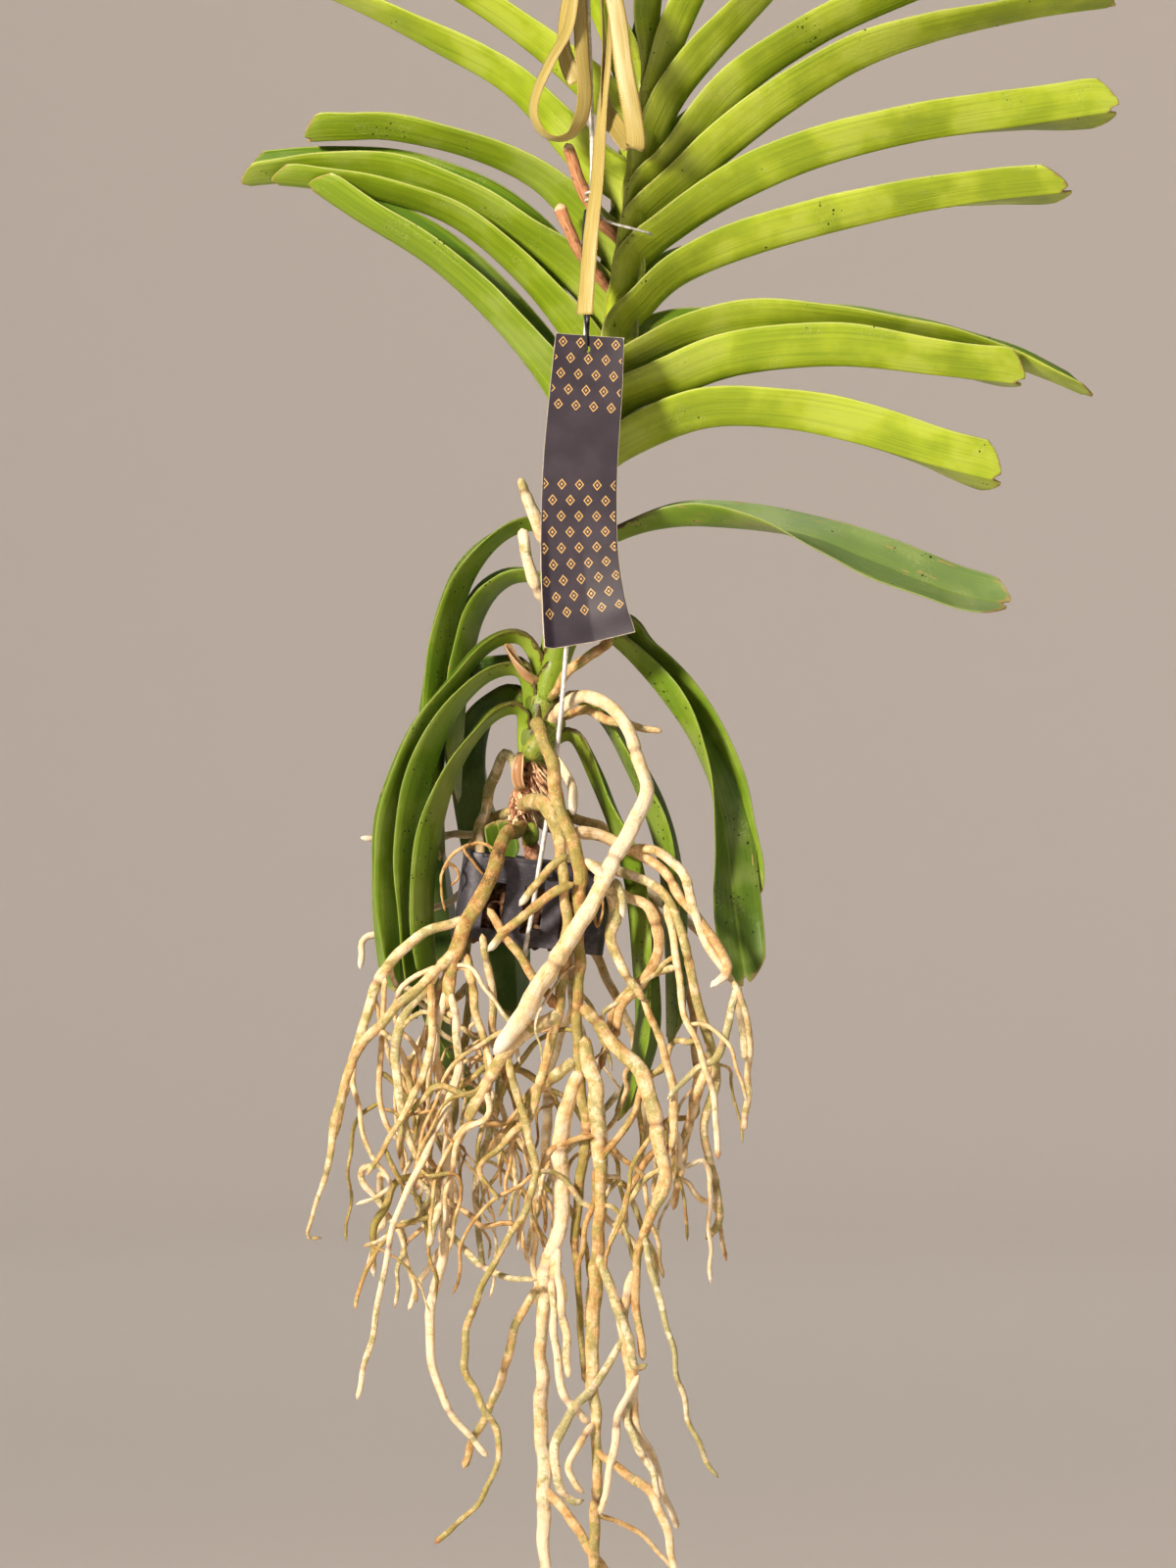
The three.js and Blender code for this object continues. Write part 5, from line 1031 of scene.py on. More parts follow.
# %% Roots
# By the root's place in its table: how brown, how green, and how it ends. The rest are drawn.
TONES = {0: 0.52, 1: 0.42, 2: 0.62, 3: 0.30, 4: 0.30, 5: 0.45, 6: 0.40, 7: 0.55, 10: 0.34, 11: 0.26,
         12: 0.30, 13: 0.05, 20: 0.16, 21: 0.34, 22: 0.36, 23: 0.18, 52: 0.0, 53: 0.0}
GREENS = {0: 0.7, 1: 0.5, 2: 0.5, 3: 0.4, 5: 0.8, 6: 0.5, 7: 0.4, 11: 0.6, 20: 0.1, 21: 0.5,
          22: 0.4, 52: 0.0, 53: 0.0}
WHITE_TIPS = (4, 5, 6, 10, 13, 52, 53)
TORN_TIPS = (7, 17, 40, 48)

pick = np.random.default_rng(11)
main = []
for number, (radii, *points) in enumerate(MAIN_ROOTS):
    tone = TONES.get(number, pick.uniform(0.0, 0.42))
    green = GREENS.get(number, pick.uniform(0.0, 0.75))
    tip = "white" if number in WHITE_TIPS else "torn" if number in TORN_TIPS else "dry"
    main.append(root_patch(radii, points, 300 + number, tone, green, tip))
main_roots = piece("roots_hanging", main, velamen, ["old_stem_and_roots"])
arch = [root_patch(radii, points, 400 + number, 0.12, 0.0, "white", 20, 2.0, 0.4)
        for number, (radii, *points) in enumerate(ARCH_ROOTS)]
root_arch = piece("root_white_arch", arch, velamen, ["root_arch"])
print("root faces:", faces_in(main_roots), faces_in(root_arch))

# %% [markdown]
# The short roots and stubs on the stem are pieces of their own. The cut flower stems are woody:
# pinkish brown outside, with a ragged pale end.

# %% Stubs
def woody_material():
    """Dead flower stem: dry and fibrous, pinkish brown, streaked along its length."""
    material, add = blank("dead flower stem, dry and woody")
    left = add("Attribute", out="Fac", attribute_name="left")
    place = add("TexCoord", out="Object")
    flat = add("UVMap", uv_map="surface")
    drawn = add("Mapping", {"Vector": flat, "Scale": (1, 1 / 18, 1)})
    streaks = add("TexNoise", {"Vector": drawn, "Scale": 1 / (0.6 * MM), "Detail": 4})
    blotch = add("TexNoise", {"Vector": place, "Scale": 1 / (4 * MM), "Detail": 4})
    colour = add("ValToRGB", {"Fac": streaks}, stops=[
        (0.25, "#91593a"), (0.5, "#c08257"), (0.75, "#dbac86")])
    ragged = add("Math", {0: blotch, 1: 3.0, 2: left}, **PLUS)
    bloom, stained, end = [
        add("MapRange", {"Value": pattern, "From Min": start, "From Max": full}, **SOFT)
        for pattern, start, full in ((blotch, 0.5, 0.7), (blotch, 0.42, 0.33), (ragged, 5.5, 3.5))]
    colour = painted(add, colour, [(bloom, 0.5, "#c3a06c"), (stained, 0.5, "#54311f"),
                                   (end, 0.9, "#e2cba4")])
    surfaced(add, colour, 0.82, [(streaks, 0.6), (blotch, 0.8)])
    return material


woody = woody_material()
for rows, seed, tone, green, step, slot in ((FREE_ROOTS, 420, 0.42, 0.3, 1.6, "root_tan"),
                                            (STUBS, 430, 0.1, 0.25, 1.4, "root_white")):
    for number, (name, radii, *points) in enumerate(rows):
        surface = root_patch(radii, points, seed + number, tone, green, sides=18, step=step)
        piece(name + "_velamen", [surface], velamen, [name])
for number, (name, radii, *points) in enumerate(FLOWER_STEMS):
    surface = root_patch(radii, points, 440 + number, 0.5, 0.0, "torn", 18, 1.2, 0.5)
    piece(name + "_wood", [surface], woody, [name])
# The dry stub is a withered bract: a papery fold whose edges have curled.
husk = leaf_patch(LEFT, 3.4, (40, 80, 120), (0, 20, 50), DRY_STUB, False, (0.8, 0.9, 0), 0.0, 447)
piece("stub_dry_husk", [husk], dry_sheath, ["stub_dry"])
piece("root_nub", [root_patch(*NUB, 450, 0.0, 0.0, "white", 16, 1.2)], velamen)
print("short roots, stubs and flower stems:", len(FREE_ROOTS) + len(STUBS) + 1 + len(FLOWER_STEMS))

# %% [markdown]
# ### Side roots
#
# Thin side roots branch from the long ones and fill the mass between them. They are too many to
# place by hand, so a seeded rule picks a parent and a place on it, and the new root grows in
# hops. Each hop turns a little from the last and sinks a little more, as a root does that gropes
# for bark and then hangs in the air. A root that would leave the mass isn't grown.

# %% Side roots
SIDE_ROOTS = 360             # as many are tried
PARENT_END = -760            # only roots that reach below this height bear any
ROOT_BOX = np.array([(-126, -23.5, -870), (84, 70, -672)])   # the mass that they keep to


def side_root(draw, parents):
    """Points from a parent root, one hop apart, and how thick the root is."""
    _, *points = parents[draw.integers(len(parents))]
    at = draw.uniform(0.05, 0.8) * (len(points) - 1)
    start = through(points, np.array([at]))
    hops = int(draw.integers(4, 11))
    heading = draw.uniform(0, 2 * np.pi) + np.cumsum(draw.normal(0, 0.5, hops))
    level = np.linspace(draw.uniform(0.4, 1.1), 0.3, hops)
    fall = np.linspace(0.3, 1.2, hops) + draw.normal(0, 0.3, hops)
    hop = unit(np.stack([level * np.cos(heading), 0.5 * level * np.sin(heading), -fall], axis=1))
    path = start + np.cumsum(hop * draw.uniform(7, 19, (hops, 1)), axis=0)
    thick = draw.uniform(0.7, 2.0)
    return [thick, thick * 1.05, thick * 0.9, thick * 0.8], np.concatenate([start, path])


draw = np.random.default_rng(23)
parents = [row for row in MAIN_ROOTS if row[-1][2] < PARENT_END]
side = []
for number in range(SIDE_ROOTS):
    radii, path = side_root(draw, parents)
    if np.any(path < ROOT_BOX[0]) or np.any(path > ROOT_BOX[1]):
        continue
    side.append(root_patch(radii, path, 500 + number, draw.uniform(0.1, 0.6), draw.uniform(0, 0.8),
                           draw.choice(["dry", "dry", "torn", "white"]), 6, 3.2, 1.0))
side_roots = piece("roots_fine", side, velamen)
print("side roots:", len(side), "faces:", faces_in(side_roots))

# %% [markdown]
# ## Old stem
#
# Below the last green sheath the stem is dead. Its outside has shredded to short pinkish fibres
# that lift at their ends, dry crumbs cling to its left side, and one old sheath has dried to a
# curled orange flap. Lower down a last live node, still green, bears a root.

# %% Old stem
OLD_STEM_LINE = [(-27, 37, -584), (-30, 36, -597), (-34, 36, -609), (-34, 37, -620),
                 (-30, 38, -629), (-28, 40, -640), (-28, 42, -660)]
OLD_STEM_RADII = [5.4, 6.4, 6.4, 5.0, 4.2, 4.4, 4.4]
NODE_LINE = [(-31, 35, -620), (-29.5, 34, -625), (-30.5, 31, -632)]
SHEATH_END = [(-14, 30, -566), (-20, 25, -573), (-27, 23, -581), (-31.5, 22, -587)]
FLAP_LINE = [(-34, 28, -584), (-35.5, 25, -590), (-36, 25, -597), (-34, 27, -603)]
# Withered twigs of root that cling to the rim of the basket and hang in front of it.
TWIGS = [
    [(-60, 3, -631), (-64, -1, -632.5), (-69, -2, -636), (-74, 0, -644), (-75.5, 1, -650),
     (-73, 2, -665)],
    [(-62, 3, -632), (-63, -1, -634), (-59, -1.5, -640), (-53, -1, -646.5)],
    [(-62, 4, -632), (-55, 1, -630), (-48, 1, -634), (-46, 1, -640)],
    [(-74, 0, -644), (-70, -1, -641), (-66, 0, -647), (-70, 1, -652)],
    [(6, 4, -651), (5, 0, -657), (3, -0.5, -667.5), (5, -0.5, -673), (7.5, 0, -666), (7, 2, -655)]]
SHREDS = 210
CRUMBS = 90


def rounded_block(centre, size, edge, rows=9):
    """A box as a ball: latitude and longitude, with each sine and cosine raised to a low power."""
    a = np.linspace(-np.pi / 2, np.pi / 2, rows + 2)[1:-1, None]
    b = np.linspace(-np.pi, np.pi, 2 * rows + 1)[None, :-1]

    def sharp(x):
        return np.sign(x) * np.abs(x) ** edge

    ball = np.stack([sharp(np.cos(a)) * sharp(np.cos(b)), sharp(np.cos(a)) * sharp(np.sin(b)),
                     sharp(np.sin(a)) + 0 * b], axis=-1).reshape(-1, 3)
    ball = np.concatenate([ball, [(0, 0, -1), (0, 0, 1)]])
    return patch(ball * np.asarray(size) / 2 + centre, grid_faces(rows, 2 * rows),
                 triangles=fans(rows, 2 * rows))


def lumpy(turn, run):
    return 1 + 0.16 * ripple(turn, run / 4, 61) + 0.12 * ripple(3 * turn, run / 1.5, 62)


def shred_material():
    """Shredded bast: matt, splintery, from straw through rust to nearly black."""
    material, add = blank("dead stem, shredded bast")
    tone = add("Attribute", out="Fac", attribute_name="tone")
    place = add("TexCoord", out="Object")
    flat = add("UVMap", uv_map="surface")
    drawn = add("Mapping", {"Vector": flat, "Scale": (1, 1 / 18, 1)})
    streaks = add("TexNoise", {"Vector": drawn, "Scale": 1 / (0.5 * MM), "Detail": 4})
    rot = add("TexNoise", {"Vector": place, "Scale": 1 / (3 * MM), "Detail": 5})
    depth = add("Math", {0: rot, 1: 1.4, 2: tone}, **PLUS)
    depth = add("Math", {0: streaks, 1: 0.6, 2: depth}, **PLUS)
    depth = add("Math", {0: depth, 1: 0.6}, operation="SUBTRACT")
    colour = add("ValToRGB", {"Fac": depth}, stops=[
        (0.1, "#ebd0a8"), (0.35, "#d0a07c"), (0.6, "#9a664c"), (0.85, "#3f271c")])
    surfaced(add, colour, 0.9, [(streaks, 0.6)], {"Specular IOR Level": 0.25})
    return material


def shred(draw):
    """Five points that start on the old stem's outside and fall aslant, the last lifted off."""
    start = draw.uniform(0, 1.9)
    turn = draw.uniform(0, 2 * np.pi)
    s = np.linspace(0, 1, 5)[:, None]
    centre = through(OLD_STEM_LINE, np.array([start]))
    outward = np.array([[np.cos(turn), np.sin(turn), 0]])
    length = draw.uniform(6, 17)
    slant = np.array([[draw.uniform(0.1, 0.8), draw.uniform(-0.3, 0.1), -0.8]])
    path = (centre + (draw.uniform(4.8, 6.6) + draw.uniform(0, 2.5) * s**2) * outward
            + length * s * unit(slant))
    return [draw.uniform(0.4, 1.1), draw.uniform(0.4, 1.0), 0.15], path


def crumb(draw):
    """A small angular crumb that sits on the old stem's left side."""
    centre = through(OLD_STEM_LINE, np.array([draw.uniform(0.6, 3.6)]))
    turn = draw.uniform(0.6, 1.75) * np.pi
    centre = centre + draw.uniform(4.6, 6.8) * np.array([[np.cos(turn), np.sin(turn), 0]])
    part = rounded_block(centre, draw.uniform(0.8, 3.6, 3), 0.6, 4)
    return marked(part, tone=draw.uniform(-0.4, 0.5), run=0, left=0)


bast = shred_material()
draw = np.random.default_rng(31)
core = tube(OLD_STEM_LINE, OLD_STEM_RADII, 28, 1.2, 0.7, lumpy, tone=0.15)
shreds = [tube(path, radii, 5, 2.4, tone=draw.uniform(-0.5, 0.15))
          for radii, path in [shred(draw) for _ in range(SHREDS)]]
crumbs = [crumb(draw) for _ in range(CRUMBS)]
old_stem = piece("old_stem_shreds", [core, *shreds, *crumbs], bast,
                 ["old_stem_and_roots"])
piece("old_stem_node", [tube(NODE_LINE, [3.4, 4.3, 3.4], 20, 0.7, 0.8, ringed)], cane)
piece("old_sheath_end", [tube(SHEATH_END, [4.5, 5.6, 5.6, 4.4], 22, 0.8, 0.5, ringed)], cane)
flap = leaf_patch(LEFT, 3.4, (100, 140), (40, 60), FLAP_LINE, False, (0.7, 0.9, 0), 0.0, 260)
piece("old_sheath_flap", [flap], dry_sheath)
twigs = [root_patch([1.1, 0.9, 0.7], points, 460 + number, 0.55, 0.0, "torn", 8, 1.2, 0.5)
         for number, points in enumerate(TWIGS)]
piece("root_twigs", twigs, velamen)
print("shreds:", len(shreds), "faces:", faces_in(old_stem))

# %% [markdown]
# ## Net basket
#
# The basket is one thin injection moulding: four slotted walls that meet in rounded corners, a
# slotted floor and a rolled rim. The wall is a flat grid of its distance round the rim and its
# height. The cells inside a slot are left out, and the grid is then bent round the square.
# Solidify gives it the moulded thickness, and Bevel rounds the edges of the slots.

# %% Basket
BASKET_HALF = 39.0
BASKET_CORNER = 10.0
BASKET_HEIGHT = 44.0
BASKET_WALL = 1.8
BASKET_CENTRE = np.array([-28, 42.5, -661])
BASKET_TILT = np.radians(8)
SLOT_WIDTH = 10.0
SLOT_PITCH = 20.0
SLOT_LOW = -16.0
SLOT_HIGH = 8.0
RIM_BAND = 3.0               # the plain band under the bead


def placed(points):
    """Tilts points from the basket's own upright frame about the depth axis, and moves them."""
    c, s = np.cos(BASKET_TILT), np.sin(BASKET_TILT)
    turned = points @ np.array([[c, 0, -s], [0, 1, 0], [s, 0, c]])
    return turned + BASKET_CENTRE


def round_square(run, half, corner):
    """A place on a square's outline with rounded corners, from its distance round it."""
    flat = 2 * (half - corner)
    bend = corner * np.pi / 2
    side, rest = np.divmod(run, flat + bend)
    turn = np.clip((rest - flat) / corner, 0, np.pi / 2)
    x = np.minimum(rest, flat) - flat / 2 + corner * np.sin(turn)
    y = -half + corner * (1 - np.cos(turn))
    a = side * np.pi / 2
    return np.stack([x * np.cos(a) - y * np.sin(a), x * np.sin(a) + y * np.cos(a)], axis=-1)


def net_material():
    """Injection-moulded polypropylene, dark slate, scuffed grey in fine streaks, dusty."""
    material, add = blank("moulded polypropylene, slate")
    place = add("TexCoord", out="Object")
    grazed = add("Mapping", {"Vector": place, "Rotation": (0.3, 0.5, 0), "Scale": (1, 1, 5)})
    dust = add("TexNoise", {"Vector": place, "Scale": 1 / (7 * MM), "Detail": 5})
    scratches = add("TexNoise", {"Vector": grazed, "Scale": 1 / (3 * MM), "Detail": 4,
                                 "Roughness": 0.7})
    dusty = add("MapRange", {"Value": dust, "From Min": 0.45, "From Max": 0.7}, **SOFT)
    scuff = add("MapRange", {"Value": scratches, "From Min": 0.58, "From Max": 0.7}, **SOFT)
    colour = painted(add, "#36333c", [(dusty, 1.0, "#55505a"), (scuff, 0.45, "#8d888c")])
    rough = add("MapRange", {"Value": dust, "To Min": 0.28, "To Max": 0.6})
    surfaced(add, colour, rough, [(scratches, 0.06), (dust, 0.3)])
    return material


def finished(obj, thickness, edge):
    """Gives a flat grid its thickness inwards, then rounds its sharp edges."""
    wall = obj.modifiers.new("thickness", "SOLIDIFY")
    wall.thickness = thickness * MM
    wall.offset = -1
    wall.use_even_offset = True
    rounded = obj.modifiers.new("edges", "BEVEL")
    rounded.width = edge * MM
    rounded.segments = 2
    rounded.limit_method = "ANGLE"


flat = 2 * (BASKET_HALF - BASKET_CORNER)
bend = BASKET_CORNER * np.pi / 2
edges = np.array([flat / 2 + place * SLOT_PITCH + way * SLOT_WIDTH / 2
                  for place in (-1, 0, 1) for way in (-1, 1)])
corner_steps = flat + bend * np.arange(0, 7) / 7
runs = np.concatenate([side * (flat + bend) + np.concatenate([[0], edges, corner_steps])
                       for side in range(4)])
top = BASKET_HEIGHT / 2
heights = np.array([-top, SLOT_LOW, SLOT_HIGH, top - RIM_BAND, top])
outline = round_square(runs, BASKET_HALF, BASKET_CORNER)
shape = (len(heights), len(runs))
grid = np.concatenate([np.broadcast_to(outline, (*shape, 2)),
                       np.broadcast_to(heights[:, None, None], (*shape, 1))], axis=2)
walls = grid_faces(len(heights), len(runs))
middle_run = (runs[walls[:, 0] % len(runs)] + 0.5) % (flat + bend)
in_slot = (np.abs((middle_run - flat / 2 + SLOT_PITCH / 2) % SLOT_PITCH - SLOT_PITCH / 2)
           < SLOT_WIDTH / 2) & (middle_run < flat) & (walls[:, 0] // len(runs) == 1)
net = net_material()
basket = piece("basket_walls", [patch(placed(grid.reshape(-1, 3)), walls[~in_slot])], net,
               ["basket"])
finished(basket, BASKET_WALL, 0.5)
print("basket wall faces:", faces_in(basket))

# %% [markdown]
# The floor is the same idea: a square grid whose corners are pulled in to the wall's curve, with
# the cells of four long slots left out. A bead runs round the rim, and two small clips on the
# front hold the rod.

# %% Basket floor, rim and clips
FLOOR_PITCH = 14.0
FLOOR_SLOT = 29.0            # half the length of a slot in the floor
CLIPS = [(5.2, 16.0), (3.2, -14.6)]
CLIP_SIZE = np.array([6.0, 5.4, 4.0])
BEAD = (1.5, 1.2)            # the rim bead's half width and half height
BEAD_STEPS, BEAD_SIDES = 144, 10

reach = BASKET_HALF - 0.4                # the floor stops short of the wall's outer face
slot_edges = [place * FLOOR_PITCH + way * SLOT_WIDTH / 2 for place in (-1.5, -0.5, 0.5, 1.5)
              for way in (-1, 1)]
x_lines = np.array([-reach, -34, -30, *slot_edges, 30, 34, reach])
y_lines = np.array([-reach, -36, -33, -FLOOR_SLOT, 0, FLOOR_SLOT, 33, 36, reach])
x, y = np.meshgrid(x_lines, y_lines)
corner = np.maximum(np.stack([np.abs(x), np.abs(y)]) - (reach - BASKET_CORNER), 0)
pull = np.minimum(1, BASKET_CORNER / np.maximum(np.hypot(*corner), 1e-6))
pulled = np.where(corner.min(axis=0) > 0, pull, 1)
x = np.sign(x) * (np.abs(x) - corner[0] * (1 - pulled))
y = np.sign(y) * (np.abs(y) - corner[1] * (1 - pulled))
z = np.full_like(x, BASKET_WALL - top)
floor_faces = grid_faces(len(y_lines), len(x_lines), around=False)
floor = np.stack([x, y, z], axis=-1).reshape(-1, 3)
mid_x, mid_y, _ = floor[floor_faces].mean(axis=1).T
from_slot = np.abs(mid_x % FLOOR_PITCH - FLOOR_PITCH / 2)
slotted = ((from_slot < SLOT_WIDTH / 2) & (np.abs(mid_x) < 2 * FLOOR_PITCH)
           & (np.abs(mid_y) < FLOOR_SLOT))
basket_floor = piece("basket_floor", [patch(placed(floor), floor_faces[~slotted])], net,
                     ["basket"])
finished(basket_floor, BASKET_WALL, 0.4)

rim_run = np.linspace(0, 4 * (flat + bend), BEAD_STEPS, endpoint=False)
rim_line, inner_line = [round_square(rim_run, BASKET_HALF - inset, BASKET_CORNER - inset)
                        for inset in (0.9, 3)]
outwards = unit(rim_line - inner_line)
a = np.linspace(0, 2 * np.pi, BEAD_SIDES, endpoint=False)[None, :, None]
rim_height = np.broadcast_to(top - BEAD[1] + BEAD[1] * np.sin(a), (BEAD_STEPS, BEAD_SIDES, 1))
rim = np.concatenate([rim_line[:, None] + BEAD[0] * np.cos(a) * outwards[:, None], rim_height],
                     axis=2)
rim_faces = grid_faces(BEAD_STEPS + 1, BEAD_SIDES, flip=True) % (BEAD_STEPS * BEAD_SIDES)
clips = [rounded_block(placed(np.array([[cx, -BASKET_HALF - CLIP_SIZE[1] / 2 + 0.3, cz]])),
                       CLIP_SIZE, 0.35) for cx, cz in CLIPS]
bead = patch(placed(rim.reshape(-1, 3)), rim_faces)
basket_rim = piece("basket_rim_and_clips", [bead, *clips], net, ["basket"])
print("rim faces:", faces_in(basket_rim))

# %% [markdown]
# ## Bark
#
# The basket is packed with chips of fir bark, a fingertip to a thumb long, with rough ends. Each
# is a block whose sides are pushed in and out by ripples, turned any way by a seeded draw. Loose
# coconut fibres lie between them.

# %% Bark
CHIPS = 150
FIBRES = 80


def bark_material():
    """Fir bark: corky and matt, red-brown outside with paler broken layers, dusty."""
    material, add = blank("fir bark chips, broken and dusty")
    tone = add("Attribute", out="Fac", attribute_name="tone")
    place = add("TexCoord", out="Object")
    bedded = add("Mapping", {"Vector": place, "Rotation": (0.6, 0.4, 0.2), "Scale": (1, 1, 7)})
    layers = add("TexNoise", {"Vector": bedded, "Scale": 1 / (11 * MM), "Detail": 4})
    blotch = add("TexNoise", {"Vector": place, "Scale": 1 / (7 * MM), "Detail": 4})
    depth = add("Math", {0: layers, 1: 0.6, 2: tone}, **PLUS)
    colour = add("ValToRGB", {"Fac": depth}, stops=[
        (0.2, "#2a1c14"), (0.5, "#5a3a28"), (0.75, "#7d5a40"), (1.0, "#b08f68")])
    dusty = add("MapRange", {"Value": blotch, "From Min": 0.55, "From Max": 0.7}, **SOFT)
    colour = painted(add, colour, [(dusty, 0.5, "#8c8468")])
    surfaced(add, colour, 0.92, [(layers, 0.8)], {"Specular IOR Level": 0.2})
    return material


def turned(draw):
    """A seeded rotation matrix: three random directions made square to each other."""
    q, _ = np.linalg.qr(draw.normal(size=(3, 3)))
    return q * np.sign(np.linalg.det(q))


def chip(draw, low, high):
    """A rough block, pushed about by ripples that depend on the place on it."""
    size = np.array([draw.uniform(10, 24), draw.uniform(7, 14), draw.uniform(3, 7)])
    made = rounded_block(0, size, draw.uniform(0.3, 0.55), 8)
    p = made["places"]
    push = 1 + 0.16 * ripple(p[:, 0] / 2, p[:, 1] / 2 + p[:, 2], int(draw.integers(1 << 30)))
    centre = placed(draw.uniform(low, high)[None, :])
    made["places"] = (p * push[:, None]) @ turned(draw) + centre
    return marked(made, tone=draw.uniform(0, 0.5), run=0, left=0)


def fibre(draw):
    """A loose curly strand that lies on the chips."""
    start = draw.uniform((-28, -28, -6), (28, 28, 4))
    heading = np.cumsum(draw.normal(0, 0.7, 6)) + draw.uniform(0, 6)
    hop = np.stack([np.cos(heading), np.sin(heading), draw.normal(0, 0.35, 6)], axis=1)
    path = start + np.cumsum(hop * draw.uniform(2.5, 5), axis=0)
    path = placed(np.clip(path, (-35, -35, -18), (35, 35, 10)))
    return tube(path, [0.25, 0.2], 4, 3.0, tone=draw.uniform(0.3, 0.8))


draw = np.random.default_rng(47)
chips = [chip(draw, (-31, -31, -17), (31, 31, 2)) for _ in range(CHIPS)]
bark = piece("bark_chips", [*chips, *[fibre(draw) for _ in range(FIBRES)]], bark_material(),
             ["bark"])
print("bark faces:", faces_in(bark))

# %% [markdown]
# ## Hanger rod and tie wire
#
# The rod is one length of galvanised wire, bent to a hook at the top and turned in under the
# basket. A short bright wire is wound round it and holds it to the stem.

# %% Wires
HANGER_LINE = [
    (-12, 0, -21), (-13, 0, -11.75), (-9.2, 0, -2.6), (0, 0, 1.25), (9.2, 0, -2.6),
    (13, 0, -11.75), (9.5, 0, -27), (2, 0, -42), (0, 0, -60), (0, 0, -130), (0, 0, -200),
    (1.5, 0, -250), (2, 0, -300), (-1, 0, -367), (-5, 0, -450), (-11, 0, -530), (-15, 0, -575),
    (-20, 0, -612), (-24.5, 0, -640), (-29.5, 0, -671), (-31.6, 0, -682), (-32, 3, -686.6),
    (-32, 10, -687.3), (-32, 40, -687.3), (-32, 68, -687.3)]
TIE_LINE = [
    (4.6, -2.6, -298), (0, -2.9, -298.5), (-1.2, 0.6, -299.3), (2.2, 2.9, -300), (5, 0.4, -300.8),
    (2, -2.9, -301.6), (-1.2, -0.4, -302.4), (2, 2.9, -303.2), (5, 1, -306), (7.5, -0.5, -311),
    (13, 0.5, -314), (23, 3, -316.3), (31, 8, -318), (32.5, 13, -318.6)]
WIRE_RADIUS = 1.25
TIE_RADIUS = 0.7


def wire_material(name, colour, spangle, rough):
    """Drawn wire: a metal with a soft sheen, streaked by the die and flecked by its zinc."""
    material, add = blank(name)
    place = add("TexCoord", out="Object")
    flat = add("UVMap", uv_map="surface")
    drawn = add("Mapping", {"Vector": flat, "Scale": (1, 1 / 100, 1)})
    streaks = add("TexNoise", {"Vector": drawn, "Scale": 1 / (0.3 * MM), "Detail": 2})
    flecks = add("TexNoise", {"Vector": place, "Scale": 1 / (2.5 * MM), "Detail": 3})
    spangled = add("MapRange", {"Value": flecks, "From Min": 0.65, "From Max": 0.4}, **SOFT)
    rough = add("MapRange", {"Value": flecks, "To Min": rough, "To Max": rough + 0.2})
    surfaced(add, painted(add, colour, [(spangled, 1.0, spangle)]), rough, [(streaks, 0.03)],
             {"Metallic": 0.3})
    return material


galvanised = wire_material("galvanised wire, dull zinc", "#f1ede8", "#cfcac6", 0.42)
bright = wire_material("bright tie wire", "#f0eeea", "#c9c6c0", 0.2)
rod = piece("hanger_rod", [tube(HANGER_LINE, [WIRE_RADIUS], 16, 2.0, 0.6)], galvanised,
            ["hanger_wire"])
tie = piece("tie_coil", [tube(TIE_LINE, [TIE_RADIUS], 12, 0.6, 0.8)], bright,
            ["tie_wire"])
print("wire faces:", faces_in(rod), faces_in(tie))

# %% [markdown]
# ## Satin bow
#
# The bow is one length of ribbon, ten millimetres wide, tied round the rod above the view. Its
# loops and tails are thin bands with a slight cup that turn as they go. Cloth simulation isn't
# needed for so narrow a band: it bends only along its length, so a line with its turn at each
# point says all of it.

# %% Ribbon
RIBBON_THICK = 0.3
RIBBON_STEP = 1.3            # along the ribbon
RIBBON_COLUMNS = 9           # across it
RIBBON_BANDS = [
    ([7, 8, 9, 9, 9, 8, 7], [
        (-1, -5, -163, 30), (-6, -9, -185, 45), (-10, -11, -215, 50), (-19, -13, -232, 50),
        (-26, -14, -247, 55), (-28, -14, -259, 60), (-24, -14, -269, 70), (-17, -13, -273, 80),
        (-9, -12, -271, 70), (-3.5, -10, -262, 40), (-1.5, -8, -248, 30), (-3, -7, -225, 25),
        (-4, -6, -195, 20), (-1, -5, -163, 20)]),
    ([7, 9, 10, 10, 10, 10, 8, 7], [
        (1, -5, -163, 10), (8, -9, -182, 12), (14, -12.5, -206, 12), (18, -14.5, -236, 10),
        (22, -15, -258, 8), (24, -13.5, -272, 8), (23.5, -11, -277, 8), (20.5, -9, -275, 8),
        (12.5, -5.5, -263, 8), (8.5, -4.5, -252, 60), (7.5, -4, -225, 80), (6, -4, -195, 80),
        (2, -4.5, -164, 60)]),
    ([6, 7, 8, 9, 9.5, 10, 10, 10], [
        (1, -5.5, -164, 75), (8, -8, -184, 82), (10.5, -8, -206, 80), (9.5, -7.5, -232, 68),
        (6.5, -7, -256, 58), (4.5, -6.5, -290, 48), (0.5, -6.5, -325, 40), (-2, -6.5, -361, 34)]),
    ([8, 8, 9], [
        (-1, -4.5, -164, 20), (-8, -5, -190, 30), (-13, -5.5, -218, 40), (-11, -5.5, -232, 20),
        (-6, -5.5, -243, 0)])]
KNOT = np.array([0, -3, -162.0])
KNOT_SIZE = (9.6, 7.6, 9.0)
WRAP = (5.6, 4.6)            # half the width and the depth of its outer turns


